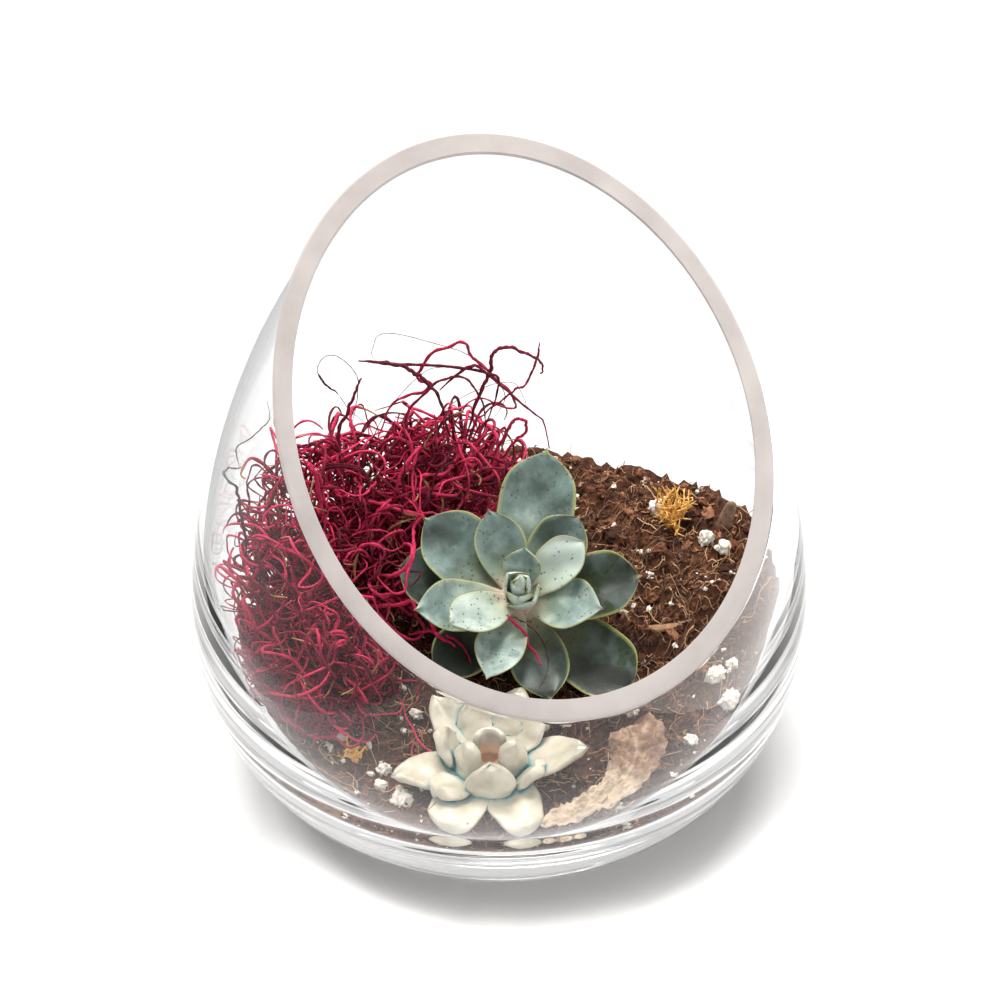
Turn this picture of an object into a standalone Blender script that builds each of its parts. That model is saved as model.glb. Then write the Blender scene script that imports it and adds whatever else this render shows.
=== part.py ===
"""Succulent terrarium.

A clear glass bowl with a slanted mouth holds a bank of soil. An echeveria stands in the soil
behind a glazed ceramic flower, a tangle of dyed moss fills the left side, and perlite, lichen,
bark and a dry leaf lie about. Units are metres. The origin is at the middle of the foot, Z is
up and the low lip of the mouth faces -Y. The planting is laid out in a frame of its own, turned
about Z: there X is to the viewer's right and Y is away from the viewer.
"""
import math
import random

import bmesh
import bpy
from mathutils import Matrix, Vector, noise

MM = 0.001
GAP = 0.3 * MM
PLANTING_TURN = math.radians(-20.2)

# Glass bowl
BELLY_RADIUS = 75.0 * MM
BELLY_HEIGHT = 42.0 * MM
FOOT_RADIUS = 50.0 * MM
RIM_TOP_HEIGHT = 151.5 * MM
NECK_DRAW_IN = 36.0 * MM
NECK_POWER = 1.76
MOUTH_AXIS_HEIGHT = 121.4 * MM
MOUTH_TILT = math.radians(37.6)
WALL_THINNEST = 3.6 * MM
WALL_THINNEST_HEIGHT = 66.0 * MM
WALL_GAIN_BELOW = 1.0 * MM
WALL_GAIN_BELOW_SPAN = 18.5 * MM
WALL_GAIN_ABOVE = 2.6 * MM
WALL_GAIN_ABOVE_SPAN = 85.0 * MM
CAVITY_FLOOR = 13.0 * MM
HEEL_HEIGHT = 27.4 * MM
HEEL_REACH = 18.5 * MM
BLANK_HEIGHT = 166.0 * MM
BOWL_STEPS = 48
# How far the flat facets of the turned wall stand inside its true circle
FACET_SAG = BELLY_RADIUS * (1.0 - math.cos(math.pi / BOWL_STEPS))

# Soil
SOIL_FRONT_LEVEL = 20.0 * MM
SOIL_RISE = 11.5 * MM
SLOPE_FOOT = -38.0 * MM
SLOPE_LENGTH = 45.0 * MM
RIGHT_BANK = 11.5 * MM
RIGHT_BANK_REACH = 66.0 * MM
LEFT_HOLLOW = 6.5 * MM
LEFT_HOLLOW_REACH = 33.0 * MM
LEFT_HOLLOW_DEPTH = 40.0 * MM
CLOD_SIZE = 9.0 * MM
CLOD_HEIGHT = 2.6 * MM
SOIL_SPOKES = 48
SOIL_WALL_RINGS = 5
SOIL_TOP_RINGS = 9
SOIL_CLEARANCE = 2.0 * GAP + FACET_SAG

# Echeveria, in a frame whose Z is the axis of the rosette
ROSETTE_PLACE = (5.0 * MM, -2.8 * MM, 40.0 * MM)
ROSETTE_TILT = math.radians(28.0)
STEM_RADIUS = 4.3 * MM
STEM_LENGTH = 20.0 * MM
LEAF_ROOT = 2.0 * MM
LEAF_THICKNESS = 2.6 * MM

# Ceramic flower
FLOWER_PLACE = (-2.2 * MM, -42.3 * MM, 21.8 * MM)
FLOWER_TILT = math.radians(3.0)
FLOWER_BASE_RADIUS = 8.5 * MM
FLOWER_BASE_HEIGHT = 2.4 * MM
PETAL_THICKNESS = 3.4 * MM

# Moss
MOSS_SEED = 11
MOSS_STRANDS = 41
BRIDGE_BOW = 9.0 * MM
STRAND_RADIUS = 1.05 * MM
STRAND_SIDES = 3
STRAND_POINTS = 9
STRAND_WANDER = 4.0 * MM
CORE_SHARE = 0.6
MOSS_SOIL_MARGIN = 1.3 * MM
MOSS_WALL_MARGIN = 1.6 * MM

model = None
cutters = None


def clear_scene():
    for old in list(bpy.data.objects):
        bpy.data.objects.remove(old, do_unlink=True)


def make_collections():
    global model, cutters
    model = bpy.data.collections.new("succulent_terrarium")
    cutters = bpy.data.collections.new("cutters")
    bpy.context.scene.collection.children.link(model)
    bpy.context.scene.collection.children.link(cutters)


def make_material(name, colour, roughness, metallic=0.0, transmission=0.0):
    material = bpy.data.materials.new(name)
    material.use_nodes = True
    shader = material.node_tree.nodes["Principled BSDF"]
    shader.inputs["Base Color"].default_value = (*colour, 1.0)
    shader.inputs["Roughness"].default_value = roughness
    shader.inputs["Metallic"].default_value = metallic
    shader.inputs["Transmission Weight"].default_value = transmission
    return material


def add_object(name, mesh, collection, material=None):
    made = bpy.data.objects.new(name, mesh)
    collection.objects.link(made)
    if material is not None:
        mesh.materials.clear()
        mesh.materials.append(material)
    return made


def evaluated_mesh(source):
    """The mesh of an object with its modifiers and its placement taken in."""
    bpy.context.view_layer.update()
    graph = bpy.context.evaluated_depsgraph_get()
    mesh = bpy.data.meshes.new_from_object(source.evaluated_get(graph))
    mesh.transform(source.matrix_world)
    return mesh


def shade_round(mesh, sharp_degrees=40.0):
    mesh.shade_smooth()
    mesh.set_sharp_from_angle(angle=math.radians(sharp_degrees))


def smooth_step(value):
    value = min(1.0, max(0.0, value))
    return value * value * (3.0 - 2.0 * value)


def keep_largest_body(mesh):
    """Weld a mesh and drop the loose scraps that a union or a cut left beside it."""
    shape = bmesh.new()
    shape.from_mesh(mesh)
    bmesh.ops.remove_doubles(shape, verts=shape.verts, dist=0.00002 * MM)
    unseen = set(shape.verts)
    bodies = []
    while unseen:
        front = [unseen.pop()]
        body = []
        while front:
            vertex = front.pop()
            body.append(vertex)
            for edge in vertex.link_edges:
                other = edge.other_vert(vertex)
                if other in unseen:
                    unseen.remove(other)
                    front.append(other)
        bodies.append(body)
    bodies.sort(key=len, reverse=True)
    for scrap in bodies[1:]:
        bmesh.ops.delete(shape, geom=scrap, context='VERTS')
    shape.to_mesh(mesh)
    shape.free()
    return mesh


def fuse(name, pieces, material, solver='EXACT'):
    """Join closed pieces into one solid with one Boolean union on a collection."""
    bits = bpy.data.collections.new(name + "_pieces")
    bpy.context.scene.collection.children.link(bits)
    for piece in pieces[1:]:
        for owner in list(piece.users_collection):
            owner.objects.unlink(piece)
        bits.objects.link(piece)
    union = pieces[0].modifiers.new("join", 'BOOLEAN')
    union.operation = 'UNION'
    union.operand_type = 'COLLECTION'
    union.collection = bits
    union.solver = solver
    mesh = keep_largest_body(evaluated_mesh(pieces[0]))
    for piece in pieces:
        bpy.data.objects.remove(piece, do_unlink=True)
    bpy.data.collections.remove(bits)
    mesh.name = name
    return add_object(name, mesh, model, material)


def cut(target, cutter):
    """Cut with a tool that stays in the file as a wire guide."""
    cutter.hide_render = True
    cutter.display_type = 'WIRE'
    difference = target.modifiers.new("cut_" + cutter.name, 'BOOLEAN')
    difference.operation = 'DIFFERENCE'
    difference.object = cutter
    difference.solver = 'EXACT'


def apply_modifiers(target):
    mesh = evaluated_mesh(target)
    target.modifiers.clear()
    target.matrix_world = Matrix.Identity(4)
    target.data = mesh


def turned_object(name, profile, steps, collection, material=None):
    """Turn a profile round Z. Its outer side runs from the top down."""
    mesh = bpy.data.meshes.new(name)
    points = [(radius, 0.0, height) for radius, height in profile]
    edges = [(i, i + 1) for i in range(len(points) - 1)]
    mesh.from_pydata(points, edges, [])
    made = add_object(name, mesh, collection, material)
    screw = made.modifiers.new("turn", 'SCREW')
    screw.axis = 'Z'
    screw.angle = 2.0 * math.pi
    screw.steps = steps
    screw.render_steps = steps
    screw.use_merge_vertices = True
    screw.merge_threshold = 0.00001
    screw.use_smooth_shade = True
    return made


def loft_object(name, rings, apex, collection, material=None):
    """Skin a row of unlike sections, with a flat cap at the root and a point at the apex."""
    shape = bmesh.new()
    rows = [[shape.verts.new(point) for point in ring] for ring in rings]
    count = len(rows[0])
    for lower, upper in zip(rows, rows[1:]):
        for i in range(count):
            j = (i + 1) % count
            shape.faces.new((lower[i], lower[j], upper[j], upper[i]))
    shape.faces.new(list(reversed(rows[0])))
    tip = shape.verts.new(apex)
    for i in range(count):
        shape.faces.new((rows[-1][i], rows[-1][(i + 1) % count], tip))
    bmesh.ops.triangulate(shape, faces=shape.faces)
    bmesh.ops.recalc_face_normals(shape, faces=shape.faces)
    mesh = bpy.data.meshes.new(name)
    shape.to_mesh(mesh)
    shape.free()
    shade_round(mesh)
    return add_object(name, mesh, collection, material)


# The bowl

def outer_radius(height):
    if height < BELLY_HEIGHT:
        drop = min(1.0, (BELLY_HEIGHT - height) / BELLY_HEIGHT)
        return FOOT_RADIUS + (BELLY_RADIUS - FOOT_RADIUS) * math.sqrt(1.0 - drop * drop)
    climb = (height - BELLY_HEIGHT) / (RIM_TOP_HEIGHT - BELLY_HEIGHT)
    return BELLY_RADIUS - NECK_DRAW_IN * climb ** NECK_POWER


def wall_thickness(height):
    """Level thickness of the wall: thinnest at the low lip, thicker to the heel and the top."""
    below = max(0.0, WALL_THINNEST_HEIGHT - height) / WALL_GAIN_BELOW_SPAN
    above = max(0.0, height - WALL_THINNEST_HEIGHT) / WALL_GAIN_ABOVE_SPAN
    return WALL_THINNEST + WALL_GAIN_BELOW * below ** 1.5 + WALL_GAIN_ABOVE * above ** 2


def inner_radius(height):
    if height >= HEEL_HEIGHT:
        return outer_radius(height) - wall_thickness(height)
    heel = outer_radius(HEEL_HEIGHT) - wall_thickness(HEEL_HEIGHT)
    drop = min(1.0, (HEEL_HEIGHT - height) / (HEEL_HEIGHT - CAVITY_FLOOR))
    return heel - HEEL_REACH + HEEL_REACH * math.sqrt(1.0 - drop * drop)


def inner_wall_points(clearance, top):
    """The inner wall from the floor to a height, set in by a clearance."""
    points = [(0.0, CAVITY_FLOOR + clearance)]
    heel_steps = 6
    heel = inner_radius(HEEL_HEIGHT)
    for i in range(heel_steps):
        angle = 0.5 * math.pi * i / heel_steps
        radius = heel - HEEL_REACH + HEEL_REACH * math.sin(angle)
        height = HEEL_HEIGHT - (HEEL_HEIGHT - CAVITY_FLOOR) * math.cos(angle)
        points.append((radius - clearance, height + clearance * math.cos(angle)))
    wall_steps = 9
    for i in range(wall_steps + 1):
        height = HEEL_HEIGHT + (top - HEEL_HEIGHT) * i / wall_steps
        points.append((inner_radius(height) - clearance, height))
    return points


def outer_wall_points(top):
    """The outer wall from the top down to the foot."""
    points = []
    wall_steps = 9
    for i in range(wall_steps):
        height = top - (top - BELLY_HEIGHT) * i / wall_steps
        points.append((outer_radius(height), height))
    heel_steps = 7
    for i in range(heel_steps + 1):
        angle = 0.5 * math.pi * (1.0 - i / heel_steps)
        radius = FOOT_RADIUS + (BELLY_RADIUS - FOOT_RADIUS) * math.sin(angle)
        points.append((radius, BELLY_HEIGHT * (1.0 - math.cos(angle))))
    points.append((0.0, 0.0))
    return points


def make_bowl():
    glass = make_material("clear_glass", (0.96, 0.98, 0.98), 0.02, transmission=1.0)
    profile = inner_wall_points(0.0, BLANK_HEIGHT) + outer_wall_points(BLANK_HEIGHT)
    bowl = turned_object("glass_bowl", profile, BOWL_STEPS, model, glass)
    bpy.ops.mesh.primitive_cube_add(size=1.0)
    saw = bpy.context.object
    saw.name = "mouth_cutter"
    size = 4.0 * BELLY_RADIUS
    saw.data.transform(Matrix.Translation((0.0, 0.0, 0.5)))
    saw.data.transform(Matrix.Diagonal((size, size, size, 1.0)))
    saw.location = (0.0, 0.0, MOUTH_AXIS_HEIGHT)
    saw.rotation_euler = (MOUTH_TILT, 0.0, 0.0)
    for owner in list(saw.users_collection):
        owner.objects.unlink(saw)
    cutters.objects.link(saw)
    cut(bowl, saw)
    return bowl


# The soil

def soil_level(x, y):
    """Raked height of the soil, low in front, banked up to the right and the back."""
    rise = SOIL_RISE * smooth_step((y - SLOPE_FOOT) / SLOPE_LENGTH)
    bank = RIGHT_BANK * (max(0.0, x) / RIGHT_BANK_REACH) ** 2
    dip = LEFT_HOLLOW * (max(0.0, -x) / LEFT_HOLLOW_REACH) ** 2
    return SOIL_FRONT_LEVEL + rise + bank - dip * smooth_step(y / LEFT_HOLLOW_DEPTH)


def soil_height(x, y):
    """Raked height with clods, calm under the ceramic flower and at the front."""
    calm = smooth_step((y + 34.0 * MM) / (22.0 * MM))
    spot = Vector((x, y, 0.0)) / CLOD_SIZE
    clod = noise.noise(spot) + 0.5 * noise.noise(2.1 * spot + Vector((7.0, 3.0, 0.0)))
    return soil_level(x, y) + CLOD_HEIGHT * clod * (0.15 + 0.85 * calm)


def wall_contact(angle):
    """Where the raked surface meets the glass in one direction, found by stepping to it."""
    height = SOIL_FRONT_LEVEL
    for _ in range(12):
        radius = inner_radius(height) - SOIL_CLEARANCE
        height = soil_height(radius * math.cos(angle), radius * math.sin(angle))
    return height


def make_soil():
    """A loft of rings: up the heel and the wall of the cavity, then in over the surface."""
    earth = make_material("potting_soil", (0.10, 0.055, 0.035), 0.95)
    rings = []
    angles = [2.0 * math.pi * (i + 0.5) / SOIL_SPOKES for i in range(SOIL_SPOKES)]
    contacts = [wall_contact(angle) for angle in angles]
    floor = CAVITY_FLOOR + GAP
    floor_radius = inner_radius(CAVITY_FLOOR) - SOIL_CLEARANCE
    rings.append([Vector((floor_radius * math.cos(a), floor_radius * math.sin(a), floor))
                  for a in angles])
    for i in range(1, SOIL_WALL_RINGS + 1):
        ring = []
        for angle, contact in zip(angles, contacts):
            part = 0.5 * math.pi * i / SOIL_WALL_RINGS
            height = floor + (contact - floor) * (1.0 - math.cos(part))
            radius = inner_radius(height - GAP) - SOIL_CLEARANCE
            ring.append(Vector((radius * math.cos(angle), radius * math.sin(angle), height)))
        rings.append(ring)
    edge = rings[-1]
    for i in range(1, SOIL_TOP_RINGS):
        inward = 1.0 - i / SOIL_TOP_RINGS
        ring = []
        for corner in edge:
            x, y = corner.x * inward, corner.y * inward
            ring.append(Vector((x, y, soil_height(x, y))))
        rings.append(ring)
    apex = Vector((0.0, 0.0, soil_height(0.0, 0.0)))
    return loft_object("soil", rings, apex, model, earth)


# Leaves and petals: thick blades round an axis

LEAF_SECTION = ((-1.0, 0.0), (-0.6, 0.3), (0.0, 0.35), (0.6, 0.3),
                (1.0, 0.0), (0.6, -0.55), (0.0, -0.75), (-0.6, -0.55))
PETAL_SECTION = ((-1.0, 0.0), (-0.85, 0.42), (0.0, 0.5), (0.85, 0.42),
                 (1.0, 0.0), (0.85, -0.42), (0.0, -0.5), (-0.85, -0.42))


def leaf_outline(along):
    """Half width of an echeveria leaf: narrow root, broad shoulders, short point."""
    widest = 0.64
    if along < widest:
        return 0.42 + 0.58 * math.sin(0.5 * math.pi * along / widest) ** 1.3
    return math.cos(0.5 * math.pi * (along - widest) / (1.0 - widest)) ** 0.62


def petal_outline(along):
    """Half width of a clay petal: broad root, straight sides to a blunt point."""
    widest = 0.40
    if along < widest:
        return 0.72 + 0.28 * math.sin(0.5 * math.pi * along / widest)
    return 1.0 - 0.86 * ((along - widest) / (1.0 - widest)) ** 1.5


def blade_object(name, azimuth, lift, length, width, thickness, height, root, curl, cup,
                 section, outline, stations, tip):
    """One blade that leaves the axis at a height, climbs at an angle and curls along it."""
    turn = Matrix.Rotation(azimuth, 4, 'Z')
    rings = []
    for along in stations:
        slope = lift + curl * along
        chord = lift + 0.5 * curl * along
        out = root + length * along * math.cos(chord)
        up = height + length * along * math.sin(chord)
        half = 0.5 * width * outline(along)
        thick = thickness * (1.0 - 0.45 * along)
        ring = []
        for side, skin in section:
            rise = cup * half * side * side + skin * thick
            point = Vector((out - rise * math.sin(slope), half * side, up + rise * math.cos(slope)))
            ring.append(turn @ point)
        rings.append(ring)
    chord = lift + 0.5 * curl
    apex = turn @ Vector((root + length * tip * math.cos(chord), 0.0,
                          height + length * tip * math.sin(chord)))
    return loft_object(name, rings, apex, model)


# Open leaves: azimuth, reach in mm, width in mm, lift in degrees, height of the root in mm
OPEN_LEAVES = (
    (83, 37.8, 18.4, 12, 0.5), (140, 29.3, 18.0, 14, 2.0), (110, 21.7, 12.4, 20, 3.5),
    (53, 23.2, 13.8, 20, 3.5), (35, 18.9, 11.5, 32, 6.0), (10, 28.8, 16.8, 12, 1.5),
    (-16, 19.8, 13.4, 26, 5.0), (-39, 34.0, 17.6, 6, 0.0), (-74, 26.2, 14.4, 10, 1.5),
    (-109, 24.0, 12.4, 22, 4.0), (-142, 19.9, 11.0, 34, 6.5), (-168, 24.9, 13.4, 20, 3.5),
    (164, 29.8, 17.6, 9, 0.5), (-139, 26.5, 14.4, 5, 0.0), (84, 8.8, 9.2, 50, 8.0),
)
# Leaves of the closed bud, in the same order of values
BUD_LEAVES = (
    (155, 5.0, 7.4, 62, 8.0), (-48, 5.6, 8.6, 58, 7.6), (25, 4.4, 6.0, 66, 8.6),
    (-115, 3.6, 5.4, 68, 9.2), (80, 2.6, 4.4, 76, 10.0), (-60, 2.2, 4.0, 78, 10.2),
)


def place_rosette():
    tilt = Matrix.Rotation(ROSETTE_TILT, 4, 'X')
    return Matrix.Translation(ROSETTE_PLACE) @ tilt


def make_echeveria():
    green = make_material("echeveria_leaf", (0.30, 0.42, 0.38), 0.55)
    stations = (0.0, 0.2, 0.42, 0.62, 0.78, 0.9, 0.97)
    pieces = []
    for i, (azimuth, reach, width, lift, height) in enumerate(OPEN_LEAVES):
        angle = math.radians(lift)
        length = (reach * MM - LEAF_ROOT) / math.cos(angle)
        pieces.append(blade_object(
            "leaf_%02d" % i, math.radians(azimuth), angle - math.radians(4.0), length, width * MM,
            LEAF_THICKNESS, height * MM, LEAF_ROOT, math.radians(8.0), 0.16,
            LEAF_SECTION, leaf_outline, stations, 1.04))
    for i, (azimuth, reach, width, lift, height) in enumerate(BUD_LEAVES):
        angle = math.radians(lift)
        pieces.append(blade_object(
            "bud_leaf_%02d" % i, math.radians(azimuth), angle, reach * MM / math.cos(angle),
            width * MM, 1.7 * MM, height * MM - 2.0 * MM, 0.6 * MM, math.radians(22.0), 0.42,
            LEAF_SECTION, leaf_outline, (0.0, 0.35, 0.65, 0.88), 1.02))
    bpy.ops.mesh.primitive_uv_sphere_add(segments=12, ring_count=8, radius=1.0)
    crown = bpy.context.object
    crown.data.transform(Matrix.Diagonal((5.2 * MM, 5.2 * MM, 7.0 * MM, 1.0)))
    crown.data.transform(Matrix.Translation((0.0, 0.0, 3.4 * MM)))
    bpy.ops.mesh.primitive_cone_add(vertices=12, radius1=0.8 * STEM_RADIUS, radius2=STEM_RADIUS,
                                    depth=STEM_LENGTH)
    stem = bpy.context.object
    stem.data.transform(Matrix.Translation((0.0, 0.0, -0.5 * STEM_LENGTH + 2.0 * MM)))
    plant = fuse("echeveria", [crown, stem] + pieces, green, solver='MANIFOLD')
    plant.data.transform(place_rosette())
    shade_round(plant.data)
    return plant


def make_stem_hole():
    """A plain round hole in the soil for the stem of the echeveria."""
    bpy.ops.mesh.primitive_cylinder_add(vertices=16, radius=STEM_RADIUS + GAP, depth=1.0)
    tool = bpy.context.object
    tool.name = "stem_hole"
    depth = STEM_LENGTH + 12.0 * MM
    tool.data.transform(Matrix.Translation((0.0, 0.0, 0.5)))
    tool.data.transform(Matrix.Diagonal((1.0, 1.0, depth, 1.0)))
    tool.data.transform(Matrix.Translation((0.0, 0.0, 2.0 * MM - STEM_LENGTH - GAP)))
    tool.data.transform(place_rosette())
    for owner in list(tool.users_collection):
        owner.objects.unlink(tool)
    cutters.objects.link(tool)
    return tool


# Clay petals in mm: azimuth in degrees, radius of the root, reach of the tip, height of the
# root, height of the tip, width, and how far the petal bends up in degrees
CLAY_PETALS = (
    (-162, 4.0, 24.6, 0.8, 5.6, 12.0, 8), (-118, 4.0, 23.4, 0.2, 2.6, 12.6, 6),
    (-66, 4.0, 23.2, 0.2, 2.6, 12.6, 6), (-5, 4.0, 23.5, 0.8, 9.8, 12.6, 12),
    (131, 4.0, 20.8, 0.8, 11.0, 12.4, 12), (104, 4.0, 15.8, 1.2, 10.0, 11.5, 16),
    (65, 4.0, 18.0, 0.8, 12.6, 12.0, 16), (37, 4.0, 15.6, 1.2, 10.6, 10.5, 16),
    (-144, 7.0, 18.2, 1.6, 5.6, 9.4, 14), (177, 7.0, 12.4, 1.6, 12.0, 10.2, 34),
    (-20, 7.5, 13.0, 1.6, 11.2, 9.0, 34), (-89, 9.0, 9.8, 0.8, 10.8, 12.0, 34),
    (-134, 8.0, 4.6, 1.4, 12.0, 8.4, 16), (-38, 8.4, 4.6, 1.4, 12.6, 9.0, 16),
    (95, 6.0, 4.4, 2.4, 12.8, 8.6, 16),
)


def place_flower():
    tilt = Matrix.Rotation(FLOWER_TILT, 4, 'X')
    return Matrix.Translation(FLOWER_PLACE) @ tilt


def make_ceramic_flower():
    glaze = make_material("cream_glaze", (0.78, 0.74, 0.64), 0.35)
    stations = (0.0, 0.25, 0.5, 0.75, 0.94)
    tube_radius = 4.4 * MM
    tube_hole = 2.2 * MM
    tube_top = 7.0 * MM
    hole_floor = 2.6 * MM
    profile = ((0.0, hole_floor), (tube_hole, hole_floor), (tube_hole, tube_top),
               (tube_radius, tube_top - 0.4 * MM), (tube_radius + 1.2 * MM, 0.0),
               (FLOWER_BASE_RADIUS, 0.0), (FLOWER_BASE_RADIUS, -FLOWER_BASE_HEIGHT),
               (0.0, -FLOWER_BASE_HEIGHT))
    tube = turned_object("flower_tube", profile, 20, model)
    pieces = [tube]
    for i, (azimuth, root, reach, low, high, width, bend) in enumerate(CLAY_PETALS):
        chord = math.atan2(high - low, reach - root)
        length = math.hypot(high - low, reach - root) * MM
        curl = math.radians(bend)
        pieces.append(blade_object(
            "clay_petal_%02d" % i, math.radians(azimuth), chord - 0.5 * curl, length, width * MM,
            PETAL_THICKNESS, low * MM, root * MM, curl, 0.12, PETAL_SECTION, petal_outline,
            stations, 1.0))
    flower = fuse("ceramic_flower", pieces, glaze)
    flower.data.transform(place_flower())
    shade_round(flower.data)
    return flower


def make_flower_seat():
    """The hollow that the base of the ceramic flower presses into the soil."""
    bpy.ops.mesh.primitive_cylinder_add(vertices=24, radius=FLOWER_BASE_RADIUS + GAP, depth=1.0)
    tool = bpy.context.object
    tool.name = "flower_seat"
    tool.data.transform(Matrix.Translation((0.0, 0.0, 0.5)))
    tool.data.transform(Matrix.Diagonal((1.0, 1.0, 12.0 * MM, 1.0)))
    tool.data.transform(Matrix.Translation((0.0, 0.0, -FLOWER_BASE_HEIGHT - GAP)))
    tool.data.transform(place_flower())
    for owner in list(tool.users_collection):
        owner.objects.unlink(tool)
    cutters.objects.link(tool)
    return tool


# The moss

# Lumps of the heap: centre and half sizes in mm
MOSS_LUMPS = (
    ((-45, -19, 32), (18, 16, 14)), ((-52, 0, 42), (13, 17, 19)), ((-33, 8, 40), (17, 16, 16)),
    ((-45, 22, 50), (16, 16, 20)), ((-27, 28, 50), (17, 15, 19)), ((-11, 33, 50), (15, 13, 17)),
)

# Pairs of lumps that strands run between
MOSS_BRIDGES = ((0, 1), (0, 2), (1, 2), (1, 3), (2, 4), (3, 4), (4, 5), (2, 5), (0, 3))


def clear_of_wall(point, margin):
    """Pull a point inside the cavity."""
    radius = math.hypot(point.x, point.y)
    limit = inner_radius(max(point.z, CAVITY_FLOOR)) - margin
    if radius > limit:
        point.x *= limit / radius
        point.y *= limit / radius
    return point


def clear_of_rosette(point, margin):
    """Push a point out of the space of the leaves, below them or past their tips."""
    into = place_rosette().inverted()
    local = into @ point
    radius = math.hypot(local.x, local.y)
    reach = 32.0 * MM + margin
    floor = -3.4 * MM + 0.08 * radius - margin
    roof = 12.0 * MM + 0.5 * radius + margin
    if radius < reach and floor < local.z < roof:
        if local.z - floor < reach - radius:
            local.z = floor
        else:
            local.x *= reach / radius
            local.y *= reach / radius
    return into.inverted() @ local


def clear_of_soil(point, margin):
    low = soil_height(point.x, point.y) + margin
    point.z = max(point.z, low)
    return point


def clear_of_all(point, thickness):
    point = clear_of_rosette(point, thickness + 0.6 * MM)
    point = clear_of_wall(point, thickness + MOSS_WALL_MARGIN)
    return clear_of_soil(point, thickness + MOSS_SOIL_MARGIN)


def make_moss_lump(index, centre, half):
    bpy.ops.mesh.primitive_ico_sphere_add(subdivisions=2, radius=1.0)
    lump = bpy.context.object
    lump.name = "moss_lump_%d" % index
    for vertex in lump.data.vertices:
        swell = 1.0 + 0.5 * noise.noise(2.3 * vertex.co + Vector((index, 0.0, 0.0)))
        arm = CORE_SHARE * swell * vertex.co
        point = Vector([(c + h * a) * MM for c, h, a in zip(centre, half, arm)])
        vertex.co = clear_of_all(point, 0.0)
    return lump


def sway(along, phase):
    """A smooth wander of each coordinate along a strand."""
    return Vector([noise.noise(Vector((2.6 * along, phase, 5.0 * axis))) for axis in range(3)])


def strand_points(draw, centre, half):
    """A wandering arc that hugs a lump, with both ends sunk into its core."""
    pole = Vector((draw.gauss(0.0, 1.0), draw.gauss(0.0, 1.0), draw.gauss(0.0, 1.0))).normalized()
    start = pole.orthogonal().normalized()
    start.rotate(Matrix.Rotation(draw.uniform(0.0, 2.0 * math.pi), 3, pole))
    sweep = math.radians(draw.uniform(90.0, 200.0))
    crest = draw.uniform(0.76, 1.14)
    phase = draw.uniform(0.0, 50.0)
    points = []
    for i in range(STRAND_POINTS):
        along = i / (STRAND_POINTS - 1)
        arm = Matrix.Rotation(sweep * along, 3, pole) @ start
        hump = math.sin(math.pi * along) ** 0.5
        arm *= 0.4 + (crest - 0.4) * hump
        point = Vector([(c + h * a) * MM for c, h, a in zip(centre, half, arm)])
        point += STRAND_WANDER * hump * sway(along, phase)
        points.append(clear_of_all(point, STRAND_RADIUS))
    return points


def bridge_points(draw, start, end):
    """A wandering strand from the middle of one lump to the middle of another."""
    phase = draw.uniform(0.0, 50.0)
    lean = Vector((draw.uniform(-1.0, 0.4), draw.uniform(-1.0, 0.6), 1.0)).normalized()
    points = []
    for i in range(STRAND_POINTS):
        along = i / (STRAND_POINTS - 1)
        hump = math.sin(math.pi * along)
        point = start.lerp(end, along) + lean * (BRIDGE_BOW * hump)
        point += 2.0 * STRAND_WANDER * hump * sway(along, phase)
        points.append(clear_of_all(point, STRAND_RADIUS))
    return points


def strand_object(name, points):
    """A tube of few sides along the points, drawn in to a tip at its end."""
    rings = []
    side = Vector((0.31, 0.22, 0.93))
    for i, point in enumerate(points[:-1]):
        way = (points[i + 1] - points[max(0, i - 1)]).normalized()
        side = (side - way * side.dot(way)).normalized()
        other = way.cross(side)
        ring = []
        for k in range(STRAND_SIDES):
            around = 2.0 * math.pi * k / STRAND_SIDES
            arm = side * math.cos(around) + other * math.sin(around)
            ring.append(point + arm * STRAND_RADIUS)
        rings.append(ring)
    return loft_object(name, rings, points[-1], model)


# Long strands that stand out of the heap, as points in mm
LONG_STRANDS = (
    ((-20, 30, 62), (-16, 34, 74), (-8, 36, 84), (0, 33, 88), (4, 30, 82), (1, 32, 74),
     (-6, 36, 66), (-12, 38, 58)),
    ((-16, 38, 60), (-8, 38, 72), (-14, 36, 82), (-26, 33, 87), (-33, 31, 85), (-34, 30, 76),
     (-32, 28, 66), (-30, 26, 56)),
    ((-10, 36, 60), (-2, 34, 70), (6, 32, 76), (12, 32, 76), (14, 33, 70), (9, 35, 65),
     (2, 37, 60), (-6, 38, 54)),
    ((-48, 20, 60), (-49, 22, 70), (-46, 24, 79), (-40, 26, 84), (-36, 27, 77), (-37, 26, 66),
     (-38, 24, 56)),
    ((-50, -22, 36), (-54, -28, 31), (-51, -33, 27), (-44, -35, 24), (-37, -31, 25),
     (-33, -24, 27), (-35, -16, 31)),
)


def make_moss():
    dye = make_material("dyed_moss", (0.33, 0.02, 0.07), 0.8)
    draw = random.Random(MOSS_SEED)
    pieces = [make_moss_lump(i, centre, half) for i, (centre, half) in enumerate(MOSS_LUMPS)]
    for i, line in enumerate(LONG_STRANDS):
        points = [clear_of_all(Vector(point) * MM, STRAND_RADIUS) for point in line]
        pieces.append(strand_object("long_strand_%d" % i, points))
    for i in range(MOSS_STRANDS):
        points = strand_points(draw, *MOSS_LUMPS[i % len(MOSS_LUMPS)])
        pieces.append(strand_object("strand_%02d" % i, points))
    for i, (first, second) in enumerate(MOSS_BRIDGES):
        ends = [Vector(MOSS_LUMPS[k][0]) * MM for k in (first, second)]
        pieces.append(strand_object("bridge_%d" % i, bridge_points(draw, *ends)))
    return fuse("moss_tangle", pieces, dye, solver='MANIFOLD')


# Small things that lie in the soil

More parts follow.
